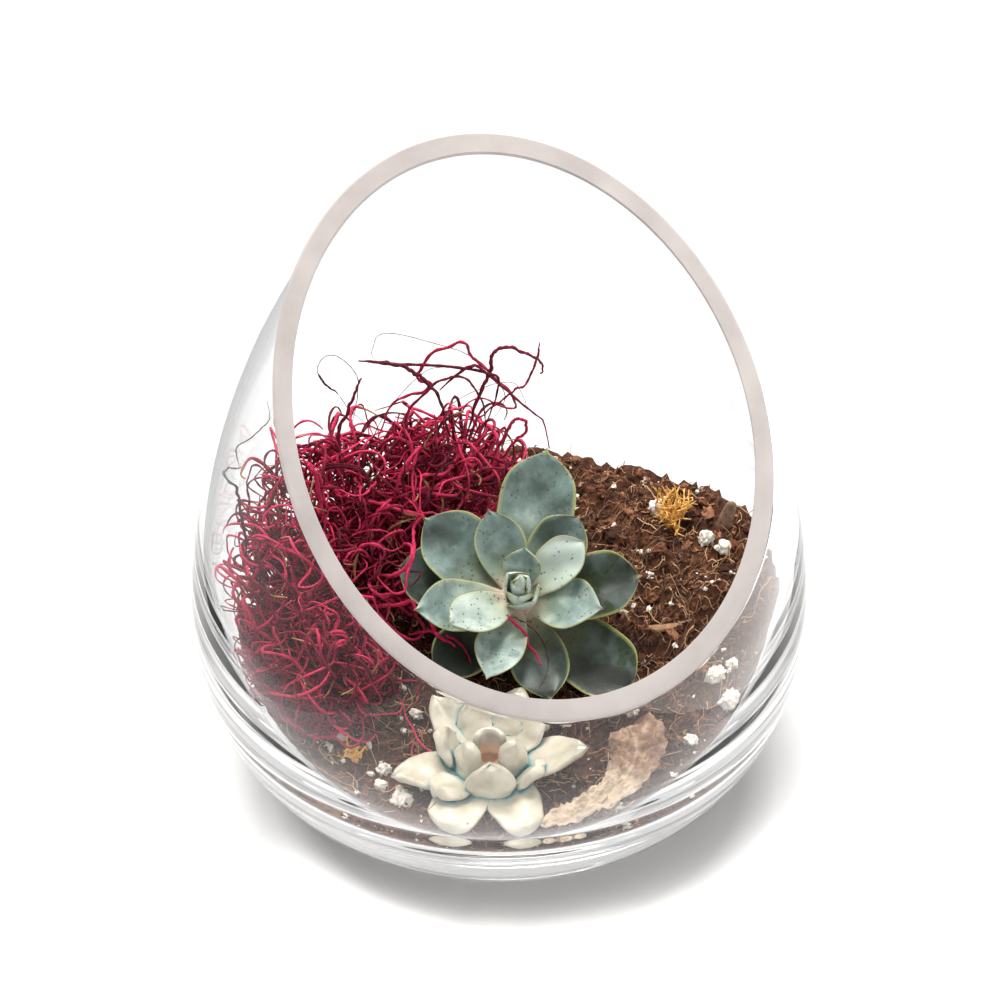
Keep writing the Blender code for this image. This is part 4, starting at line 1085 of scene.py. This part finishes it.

# Long strands that stand out of the heap, lie over the leaves, or have strayed onto the
# soil: points in mm, radius in mm, and how bright the strand is
LONG_STRANDS = (
    (((-30, 30, 66), (-26, 33, 74.9), (-18.3, 33, 78.5), (-16.6, 33, 81), (-20.1, 33, 83),
      (-16.2, 33, 90.3), (-8.5, 33, 93.5), (-6.3, 33, 88.7), (-2.2, 33, 84.2), (2.9, 33, 78.5),
      (3.9, 33, 73.2), (-6.1, 33, 76.2), (-12, 34, 66)), 0.42, 0.7),
    (((-33.9, 30, 90.2), (-25, 30, 89.4), (-20.4, 30, 86.6), (-18.2, 30, 84.5),
      (-14.4, 30, 78.3), (-12, 31, 66)), 0.55, 0.25),
    (((-30, 31, 89.6), (-25.1, 32, 87.8), (-14.3, 32, 87.2), (-2.2, 32, 85), (-0.2, 32, 80),
      (-4, 33, 66)), 0.42, 0.3),
    (((-8, 33, 64), (-4.6, 33, 78.4), (-2.2, 33, 84.2), (-1.6, 33, 89.9), (1.6, 33, 92.3),
      (6.7, 33, 90.3), (10.5, 33, 87.1), (10.2, 33, 84.2)), 0.50, 0.4),
    (((9.8, 32, 94.6), (9.2, 32, 89.4), (6.7, 32, 82.2), (2.9, 32, 78.9), (-1, 32, 74.8),
      (-5.5, 32, 70.3), (-9, 32, 60)), 0.32, 0.6),
    (((-14, 32, 80), (-7, 32, 87.5), (-1.6, 32, 83.8), (6.1, 32, 74.8), (12.2, 32, 69.1)),
     0.42, 0.45),
    (((-4, 30, 50), (-2.2, 30, 56.1), (0.3, 30, 64.9), (3.5, 30, 71.5), (6.4, 30, 71.9),
      (6.4, 30, 68.2), (2.9, 30, 64.1), (0.3, 30, 59), (-3, 30, 50)), 0.46, 0.8),
    (((-24, 30, 64), (-22, 31, 74), (-15, 32, 82), (-9, 32, 84), (-5, 33, 78), (-3, 33, 68)),
     0.38, 0.5),
    (((-38, 22, 60), (-39.2, 22, 72.2), (-37.3, 22, 80), (-34.9, 22, 86.2), (-32.9, 22, 91.4)),
     0.50, 0.35),
    (((-42, 8, 56), (-43.5, 8, 66), (-44, 8, 72), (-45.6, 8, 76), (-43.5, 9, 72),
      (-42, 9, 62)), 0.60, 0.85),
    (((-60, -6, 60), (-60.6, -6, 73.2), (-60.9, -6, 80.6), (-63.2, -6, 85.5),
      (-59.7, -6, 87.1)), 0.36, 0.1),
    (((-36, 19, 55), (-31, 15.6, 58), (-25.1, 13.4, 57.1), (-21.3, 9.9, 54.2), (-21.3, -0.6, 52.4),
      (-23.8, -7.7, 48), (-29.7, -1.0, 48)), 0.50, 0.9),
    (((-40, -2, 42), (-31, -4.7, 42), (-20, -8, 44), (-14.3, -12, 38.5), (-11, -14, 36.8)),
     0.58, 0.85),
    (((-22, -8, 36), (-16.4, -10, 38), (-9.8, -12.8, 37.4), (-6.6, -17.9, 35.2)), 0.42, 0.7),
    (((1.6, -15.1, 48), (5.2, -15.6, 44.2), (8.2, -17.8, 39.6), (10.1, -21.8, 37.9)), 0.42, 0.8),
    (((-23, -20, 27), (-22, -28, 24), (-18.5, -36, 23.2), (-15.8, -39, 23), (-17, -41, 22.6),
      (-20.5, -40, 22.6), (-21, -34, 23)), 0.30, 0.9),
    (((-50, -22, 36), (-54, -28, 31), (-51, -33, 27), (-44, -35, 24), (-37, -31, 25),
      (-33, -24, 27), (-35, -16, 31)), 0.62, 0.85),
)
# Hairs that stray from the heap, with the same values
STRAY_HAIRS = (
    (((-2, 34, 68), (1.5, 34, 76.7), (-4.6, 34, 86.9), (-14.3, 34, 92.1), (-27.6, 34, 95.8),
      (-30.8, 34, 90.6), (-30.2, 34, 87.5)), 0.10, 0.1),
    (((-36, 24, 74), (-34.5, 24, 83), (-33.9, 24, 89.8), (-36.9, 24, 94.7), (-40.7, 24, 96.8),
      (-43.7, 24, 92.6), (-41.9, 24, 88), (-38.9, 24, 84.9)), 0.10, 0.1),
    (((-43.5, 24, 91), (-41.9, 24, 88), (-38.9, 24, 84.9)), 0.30, 0.15),
    (((-59.7, -6, 87.1), (-59.7, -6, 92.5), (-56.5, -6, 95.8), (-53.6, -6, 99.3),
      (-51.9, -6, 102.1), (-52.1, -6, 106.9)), 0.14, 0.1),
    (((-38.9, 24, 84.9), (-36, 26, 78), (-30, 28, 70)), 0.08, 0.1),
    (((1.6, -13.9, 47), (5.3, -11.7, 43.2), (10.4, -13.7, 39), (11.7, -20.3, 36.5),
      (9.7, -26.5, 35)), 0.12, 0.3),
    (((-20, 30, 66), (-10, 33, 76), (2, 35, 80), (6, 34, 76), (7, 33, 71)), 0.08, 0.1),
    (((-34, 22, 62), (-28, 27, 76), (-18, 31, 86), (-12, 32, 87)), 0.09, 0.1),
)


def smooth_line(points, count):
    """A smooth curve through points, read at even steps."""
    points = [Vector(p) for p in points]
    ends = [2.0 * points[0] - points[1]] + points + [2.0 * points[-1] - points[-2]]
    line = []
    for i in range(count):
        place = i / (count - 1) * (len(points) - 1)
        k = min(int(place), len(points) - 2)
        t = place - k
        a, b, c, d = ends[k:k + 4]
        line.append(0.5 * (2.0 * b + (c - a) * t + (2.0 * a - 5.0 * b + 4.0 * c - d) * t * t
                           + (3.0 * b - a - 3.0 * c + d) * t ** 3))
    return line


for kink, group in ((0.7, LONG_STRANDS), (0.3, STRAY_HAIRS)):
    for points, radius, dye_and_shade in group:
        line = [p * MM for p in smooth_line(points, 9 * len(points))]
        phase = dice.uniform(0.0, 90.0)
        for i, point in enumerate(line):
            point += kink * MM * Vector([noise.noise(Vector((0.24 * i, phase, 7.0 * axis)))
                                         + 0.5 * noise.noise(Vector((0.6 * i, phase, axis)))
                                         for axis in range(3)])
        tufts.append(strand_mesh(dice, line, radius * MM, 6, 0.0, dye_and_shade))
half_way = len(tufts) // 2
moss_low = moss_piece("moss_tufts_front", tufts[:half_way], dyed)
moss_high = moss_piece("moss_tufts_back", tufts[half_way:], dyed)
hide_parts("moss_tangle")
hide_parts("moss_tangle")

# ---------------------------------------------------------------------------------------------
# The litter. Grains of expanded perlite, a curled dry leaf, a sliver of bark, a splinter of
# wood and two tufts of orange lichen lie on the soil where they fell.
# Grains of perlite: place and width in mm
PERLITE = (
    (40.2, 38.8, 4.4), (51.6, 24.7, 3.8), (55.6, 18.6, 3.6), (57.6, -1.5, 3.4),
    (52.9, -20.9, 5.0), (57.2, -28.8, 5.4), (57.6, -17.6, 3.4), (47.0, -38.4, 3.6),
    (32.6, -26.0, 3.0), (-23.4, -52.0, 5.0), (-28.6, -48.0, 3.2), (-28.0, -42.4, 3.4),
    (-20.2, -24.0, 3.4), (-39.0, -31.5, 3.4),
)
GRAIN_SINK = 0.16
grain_points, grain_faces = ball_pattern(4)
for i, (x, y, width) in enumerate(PERLITE):
    high = raked_height(x * MM, y * MM) + GRAIN_SINK * width * MM
    corners = []
    for p in grain_points:
        point = Vector(p) * (0.5 * width)
        swell = 1.0 + 0.30 * noise.noise(point / (0.42 * width) + Vector((i, 0.0, 0.0)))
        swell += 0.60 * abs(noise.noise(point / 1.15 + Vector((i, 5.0, 0.0)))) - 0.14
        swell += 0.22 * noise.noise(point / 0.50 + Vector((i, 9.0, 0.0)))
        corners.append(point * MM * swell + Vector((x * MM, y * MM, high)))
    grain = planted("perlite_grain_%02d" % (i + 1), corners, grain_faces)
    grain.data.materials.append(white_rock)
    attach(grain, "root")
    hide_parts("perlite_%02d" % (i + 1))

# The dry leaf: its middle line as points in mm, with its width there
DRY_LEAF_LINE = (
    ((9.6, -61.0, 0.0), 1.8), ((14.6, -59.4, 0.0), 4.6), ((21.0, -56.6, 0.3), 6.0),
    ((27.2, -53.0, 0.8), 7.6), ((31.0, -48.6, 1.8), 11.4), ((32.8, -44.4, 3.0), 13.6),
    ((32.8, -40.0, 4.2), 14.0), ((31.0, -36.4, 5.2), 11.0),
)
DRY_LEAF_THICKNESS = 0.45 * MM
DRY_LEAF_LIFT = 1.5 * MM
leaf_rows, leaf_columns = 72, 25
dry_middle = smooth_line([p for p, _ in DRY_LEAF_LINE], leaf_rows)
dry_widths = np.interp(np.linspace(0.0, len(DRY_LEAF_LINE) - 1.0, leaf_rows),
                       range(len(DRY_LEAF_LINE)), [w for _, w in DRY_LEAF_LINE])
dry_widths[-1] *= 0.5
dry_corners, dry_faces, dry_veins, dry_alongs, dry_fold_shades = [], [], [], [], []
for skin in (1.0, -1.0):
    for i in range(leaf_rows):
        way = dry_middle[min(leaf_rows - 1, i + 1)] - dry_middle[max(0, i - 1)]
        way = Vector((way.x, way.y, 0.0)).normalized()
        across = Vector((way.y, -way.x, 0.0))
        for k in range(leaf_columns):
            side = 2.0 * k / (leaf_columns - 1) - 1.0
            torn_side = Vector((0.22 * i, 4.0 if side > 0.0 else 9.0, 0.0))
            ragged = 1.0 + 0.22 * noise.noise(torn_side) + 0.12 * noise.noise(3.1 * torn_side)
            point = Vector((dry_middle[i].x, dry_middle[i].y, 0.0)) * MM
            point += across * (0.5 * dry_widths[i] * side * ragged * MM)
            crumple = 2.6 * abs(noise.noise(point / (3.6 * MM)))
            crumple += 1.9 * abs(noise.noise(point / (1.6 * MM)))
            crumple += 0.7 * noise.noise(point / (0.8 * MM))
            low = raked_height(point.x, point.y) + DRY_LEAF_LIFT
            lift = dry_middle[i].z + 1.2 * side * side * dry_widths[i] / 14.0 + crumple
            point.z = low + (lift - 0.4 * math.exp(-(side / 0.1) ** 2)) * MM
            thin = 1.0 if 0 < k < leaf_columns - 1 and 0 < i < leaf_rows - 1 else 0.15
            point.z += skin * 0.5 * DRY_LEAF_THICKNESS * thin
            dry_corners.append(tuple(point))
            rib = math.exp(-(side / 0.09) ** 2)
            ribs = math.exp(-((((i * 0.30 + 2.2 * abs(side)) % 1.0) - 0.5) / 0.14) ** 2)
            dry_veins.append(max(rib, 0.55 * ribs))
            dry_alongs.append(i / (leaf_rows - 1))
            # Dark lines along the folds: painted shade in the creases
            fold_shade = min(abs(noise.noise(point.xy.to_3d() / (2.1 * MM))),
                       abs(noise.noise(point.xy.to_3d() / (1.3 * MM) + Vector((5.0, 0.0, 0.0)))))
            dry_fold_shades.append(math.exp(-(fold_shade / 0.055) ** 2))
sheet_size = leaf_rows * leaf_columns
for i in range(leaf_rows - 1):
    for k in range(leaf_columns - 1):
        a = i * leaf_columns + k
        b = a + leaf_columns
        dry_faces.append((a, a + 1, b + 1, b))
        dry_faces.append((a + sheet_size, b + sheet_size, b + sheet_size + 1,
                          a + sheet_size + 1))
dry_rim = [i * leaf_columns for i in range(leaf_rows)]
dry_rim += [(leaf_rows - 1) * leaf_columns + k for k in range(1, leaf_columns)]
dry_rim += [i * leaf_columns + leaf_columns - 1 for i in range(leaf_rows - 2, -1, -1)]
dry_rim += list(range(leaf_columns - 2, 0, -1))
for a, b in zip(dry_rim, dry_rim[1:] + dry_rim[:1]):
    dry_faces.append((a, b, b + sheet_size, a + sheet_size))
dry_leaf = planted("crumpled_leaf", dry_corners, dry_faces)
for mark, values in (("vein", dry_veins), ("along", dry_alongs), ("fold_shade", dry_fold_shades)):
    paint(dry_leaf, mark, values)
papery, tree, shader = new_finish("dry_leaf_finish", 0.8)
blotches = cloud(tree, 240.0, 6.0, 0.72)
leaf_tone = stained(tree, blotches, (
    (0.34, (0.10, 0.048, 0.026)), (0.50, (0.28, 0.16, 0.095)), (0.66, (0.54, 0.39, 0.27))))
# Over the blotched tone: a paler base, painted shade along the folds, and pale veins
coloured(tree, shader, layered(tree, leaf_tone, (
    (share_of(tree, painted(tree, "along"), 0.62, 0.48, 0.75), (0.56, 0.46, 0.34)),
    (share_of(tree, painted(tree, "fold_shade"), 0.2, 1.0, 0.6), (0.13, 0.065, 0.036)),
    (share_of(tree, painted(tree, "vein"), 0.3, 1.0, 0.45), (0.64, 0.50, 0.38)))))
roughened(tree, shader, blotches, 0.3 * MM, 0.6)
dry_leaf.data.materials.append(papery)
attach(dry_leaf, "root")
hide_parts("dry_leaf")


def sliver(name, place, size, turn, seed):
    """A split sliver with long torn grain and unevenly torn sides."""
    rows, sides = 26, 28
    corners = []
    for i in range(rows):
        along = i / (rows - 1)
        end = math.sqrt(max(0.0, 1.0 - (2.0 * along - 1.0) ** 8))
        reach = (0.5 - 0.22 * along) * (0.25 + 0.75 * end)
        for k in range(sides):
            around = 2.0 * math.pi * k / sides
            torn = 1.0 + 0.16 * noise.noise(Vector((4.0 * math.cos(around) + seed,
                                                    4.0 * math.sin(around), 1.6 * along)))
            torn += 0.05 * noise.noise(Vector((9.0 * around, seed, 12.0 * along)))
            corners.append(Vector((size[0] * reach * torn * math.cos(around) * MM,
                                   size[1] * reach * torn * math.sin(around) * MM,
                                   size[2] * (along - 0.5) * MM)))
    return planted(name, [turn @ c + place for c in corners], closed_rings(rows, sides))


def over_soil(x, y, lift):
    """A place over the raked soil; all three in mm."""
    return Vector((x * MM, y * MM, raked_height(x * MM, y * MM) + lift * MM))


bark_sliver = sliver("bark_sliver", over_soil(57.0, 27.6, 3.4), (4.4, 2.2, 9.0),
                     Matrix.Rotation(math.radians(14.0), 3, 'Y'), 1.0)
lying = Matrix.Rotation(math.radians(6.0), 3, 'Z') @ Matrix.Rotation(math.radians(86.0), 3, 'Y')
wood_sliver = sliver("wood_sliver", over_soil(41.0, -3.4, 0.5), (1.9, 2.8, 13.0), lying, 2.0)
for piece, node, stops in (
        (bark_sliver, "bark", ((0.3, (0.075, 0.036, 0.021)), (0.7, (0.40, 0.24, 0.15)))),
        (wood_sliver, "pale_wood", ((0.3, (0.16, 0.075, 0.035)), (0.7, (0.42, 0.24, 0.12))))):
    woody, tree, shader = new_finish(node + "_finish", 0.85)
    torn_grain = cloud(tree, 500.0, 6.0, 0.7)
    coloured(tree, shader, stained(tree, torn_grain, stops))
    roughened(tree, shader, torn_grain, 0.4 * MM, 0.8)
    piece.data.materials.append(woody)
    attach(piece, "root")
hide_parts("bark_chip")
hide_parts("wood_splinter")

BRANCH_POINTS = 12
TWIG_POINTS = 6
horny, tree, shader = new_finish("lichen_finish", 0.7)
crusty = cloud(tree, 700.0, 4.0)
coloured(tree, shader, stained(tree, crusty, (
    (0.3, (0.36, 0.15, 0.02)), (0.5, (0.64, 0.33, 0.05)), (0.7, (0.78, 0.50, 0.15)))))
roughened(tree, shader, crusty, 0.3 * MM, 0.6)
for name, node, place, spread, squeeze, branches, seed in (
        ("lichen_tuft_back", "lichen_back", (43.2, 31.5), 10.6, 0.62, 32, 3),
        ("lichen_tuft_front", "lichen_front", (-35.5, -39.6), 5.0, 1.0, 15, 4)):
    dice = random.Random(seed)
    root = Vector((place[0] * MM, place[1] * MM, 0.0))
    root.z = raked_height(root.x, root.y) + 0.5 * MM
    ball_points, ball_faces = ball_pattern(2)
    tuft = [(ball_points * 0.15 * spread * MM + np.array(root), ball_faces)]
    for i in range(branches):
        angle = 2.0 * math.pi * (i + dice.uniform(-0.3, 0.3)) / branches
        lean = dice.uniform(0.35, 0.95)
        reach = spread * MM * dice.uniform(0.7, 1.0)
        way = Vector((squeeze * lean * math.cos(angle), lean * math.sin(angle),
                      1.15 - 0.6 * lean))
        way.normalize()
        phase = dice.uniform(0.0, 60.0)
        line = []
        for j in range(BRANCH_POINTS):
            along = j / (BRANCH_POINTS - 1)
            sway = Vector([noise.noise(Vector((2.4 * along, phase, 3.0 * axis)))
                           for axis in range(3)])
            line.append(root + way * (reach * along) + sway * (3.2 * MM * along))
        tuft.append(thread(line, [(0.32 - 0.18 * j / (BRANCH_POINTS - 1)) * MM
                                  for j in range(BRANCH_POINTS)], 6))
        for start in (4, 6, 8, 10):
            fork = (way + 1.3 * any_way(dice)).normalized()
            twig = [line[start] + fork * (0.24 * reach * j / (TWIG_POINTS - 1))
                    for j in range(TWIG_POINTS)]
            tuft.append(thread(twig, [(0.22 - 0.12 * j / (TWIG_POINTS - 1)) * MM
                                      for j in range(TWIG_POINTS)], 5))
    lichen = planted(name, *joined(tuft))
    lichen.data.materials.append(horny)
    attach(lichen, "root")
    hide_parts(node)

# ---------------------------------------------------------------------------------------------
# The studio. A white table under an even white sky, with one large soft lamp high up and a
# little behind, so the bowl's shadow stays short. Away from the bowl the paper glows: painted
# light that clears the broad shadow and leaves only the shadow close to the bowl.
FLOOR_DROP = 0.05 * MM
FLOOR_REACH = 3.0
SKY_STRENGTH = 0.72
LAMP_PLACE = PLANTING_TURN @ Vector((-0.12, 0.40, 1.12))
LAMP_SIZE = 0.42
LAMP_POWER = 15.0
LAMP_COLOUR = (1.0, 0.97, 0.93)
LAMP_AIM = Vector((0.0, 0.0, 0.06))
# The paper glows as painted light beyond a ring around a point just in front of the bowl's middle
PAINTED_LIGHT_MIDDLE = PLANTING_TURN @ Vector((6.0, -18.0, 0.0)) * MM
PAINTED_LIGHT_FROM = 54.0 * MM
PAINTED_LIGHT_TO = 63.0 * MM
PAINTED_LIGHT_STRENGTH = 0.28


def measured(tree, operation, place):
    """How far a spot of the piece is from a place, or how far it lies along a direction."""
    spots = tree.nodes.new("ShaderNodeTexCoord")
    measure = tree.nodes.new("ShaderNodeVectorMath")
    measure.operation = operation
    measure.inputs[1].default_value = place
    tree.links.new(spots.outputs["Object"], measure.inputs[0])
    return measure.outputs["Value"]


floor = mesh_piece("studio_floor", [
    (FLOOR_REACH * x, FLOOR_REACH * y, -FLOOR_DROP)
    for x, y in ((-1.0, -1.0), (1.0, -1.0), (1.0, 1.0), (-1.0, 1.0))], [(0, 1, 2, 3)])
paper, tree, shader = new_finish("white_table_finish", 0.9, Specular_IOR_Level=0.1)
coloured(tree, shader, stained(tree, cloud(tree, 3.0), (
    (0.3, (0.655, 0.655, 0.655)), (0.7, (0.675, 0.675, 0.675)))))
shader.inputs["Emission Color"].default_value = (1.0, 0.99, 0.98, 1.0)
# Painted light: the glow fades in between the ring's two radii
tree.links.new(share_of(tree, measured(tree, 'DISTANCE', PAINTED_LIGHT_MIDDLE), PAINTED_LIGHT_FROM,
                        PAINTED_LIGHT_TO, PAINTED_LIGHT_STRENGTH), shader.inputs["Emission Strength"])
floor.data.materials.append(paper)

# What only the glass shows: a glowing disc under the bowl, painted light seen through the glass
# and dimmer to the left, and a dark card on its left and a bright card on its right, seen only as
# painted reflections in it. None of them casts anything.
GLOW_RINGS = (30.0, 50.0, 70.0, 95.0, 130.0, 1000.0)
GLOW_SPOKES = 24
GLOW_FROM = 30.0 * MM
GLOW_TO = 130.0 * MM
GLOW_STOPS = ((0.0, (0.55, 0.54, 0.535)), (0.25, (0.66, 0.645, 0.635)),
              (0.45, (0.90, 0.885, 0.88)), (0.65, (1.0, 1.0, 1.0)))
GLOW_STRENGTH = 1.18
GLOW_LEFT_STRENGTH = 0.65
GLOW_LEFT_FROM = -130.0 * MM
GLOW_LEFT_TO = -105.0 * MM
CARD_PLACE = 135.0 * MM
CARD_OUTLINE = ((-0.25, 0.0), (0.20, 0.0), (0.20, 0.30), (-0.25, 0.30))
glow_corners = [(0.0, 0.0, -0.5 * FLOOR_DROP)]
for radius in GLOW_RINGS:
    for k in range(GLOW_SPOKES):
        around = 2.0 * math.pi * k / GLOW_SPOKES
        glow_corners.append((radius * MM * math.cos(around), radius * MM * math.sin(around),
                             -0.5 * FLOOR_DROP))
glow_faces = [(0, 1 + k, 1 + (k + 1) % GLOW_SPOKES) for k in range(GLOW_SPOKES)]
for j in range(len(GLOW_RINGS) - 1):
    glow_faces += [face[::-1] for face in ring_band(1 + j * GLOW_SPOKES, GLOW_SPOKES)]
# Painted light: a disc that glows under the bowl, brighter toward its edge, seen only through the
# glass
painted_pool = mesh_piece("painted_light_pool", glow_corners, glow_faces)
glow_finish, tree, shader = new_finish(
    "painted_light_pool_finish", 0.5, Base_Color=(0.02, 0.02, 0.02, 1.0))
out_from_middle = share_of(tree, measured(tree, 'DISTANCE', (0.0, 0.0, 0.0)), GLOW_FROM, GLOW_TO)
tree.links.new(stained(tree, out_from_middle, GLOW_STOPS), shader.inputs["Emission Color"])
rightward = measured(tree, 'DOT_PRODUCT', PLANTING_TURN @ Vector((1.0, 0.0, 0.0)))
tree.links.new(share_of(tree, rightward, GLOW_LEFT_FROM, GLOW_LEFT_TO, GLOW_STRENGTH,
                        GLOW_LEFT_STRENGTH), shader.inputs["Emission Strength"])
painted_pool.data.materials.append(glow_finish)
painted_pool.visible_glossy = False
stand_ins = [painted_pool]
# Painted reflections: a dark card and a bright glowing card that show only in the glass
for name, side, card_glow in (("dark_card", -1.0, 0.3), ("bright_card", 1.0, 3.5)):
    card = mesh_piece(name, [PLANTING_TURN @ Vector((CARD_PLACE * side, y, z))
                             for y, z in CARD_OUTLINE], [(0, 1, 2, 3)])
    card_finish, tree, shader = new_finish(
        name + "_finish", 1.0, Base_Color=(0.02, 0.02, 0.02, 1.0),
        Emission_Color=(1.0, 0.97, 0.95, 1.0), Emission_Strength=card_glow)
    card.data.materials.append(card_finish)
    card.visible_transmission = False
    stand_ins.append(card)
for unseen in stand_ins:
    unseen.visible_camera = False
    unseen.visible_diffuse = False
    unseen.visible_shadow = False

studio = bpy.context.scene
sky = bpy.data.worlds.new("white_sky")
studio.world = sky
sky.use_nodes = True
background = sky.node_tree.nodes["Background"]
background.inputs["Color"].default_value = (1.0, 1.0, 1.0, 1.0)
background.inputs["Strength"].default_value = SKY_STRENGTH

lamp = bpy.data.objects.new("soft_lamp", bpy.data.lights.new("soft_lamp", 'AREA'))
studio.collection.objects.link(lamp)
lamp.data.energy = LAMP_POWER
lamp.data.color = LAMP_COLOUR
lamp.data.size = LAMP_SIZE
lamp.matrix_world = Matrix.Translation(LAMP_PLACE) @ (
    LAMP_PLACE - LAMP_AIM).to_track_quat('Z', 'Y').to_matrix().to_4x4()

# The photograph looks down at the open side of the bowl with a long lens, from about a metre
# away and a little to the left of the low lip.
EYE_AZIMUTH = math.radians(-20.2)
EYE_ELEVATION = math.radians(40.0)
EYE_DISTANCE = 0.9
EYE_AIM = Vector((0.0, 0.0, 71.6 * MM))
EYE_LENS = 135.58
EYE_SHIFT = 0.001

eye_back = Vector((math.sin(EYE_AZIMUTH) * math.cos(EYE_ELEVATION),
                   -math.cos(EYE_AZIMUTH) * math.cos(EYE_ELEVATION), math.sin(EYE_ELEVATION)))
eye_right = Vector((math.cos(EYE_AZIMUTH), math.sin(EYE_AZIMUTH), 0.0))
eye_turn = Matrix((eye_right, eye_back.cross(eye_right), eye_back)).transposed().to_4x4()
eye = bpy.data.objects.new("eye", bpy.data.cameras.new("eye"))
studio.collection.objects.link(eye)
eye.matrix_world = Matrix.Translation(EYE_AIM + eye_back * EYE_DISTANCE) @ eye_turn
eye.data.sensor_width = 36.0
eye.data.lens = EYE_LENS
eye.data.shift_x = EYE_SHIFT
eye.data.clip_start = 0.02
studio.camera = eye

studio.view_settings.view_transform = 'Standard'

# Light runs round in the thick glass many times before it leaves
studio.cycles.max_bounces = 20
studio.cycles.glossy_bounces = 14
studio.cycles.transmission_bounces = 14
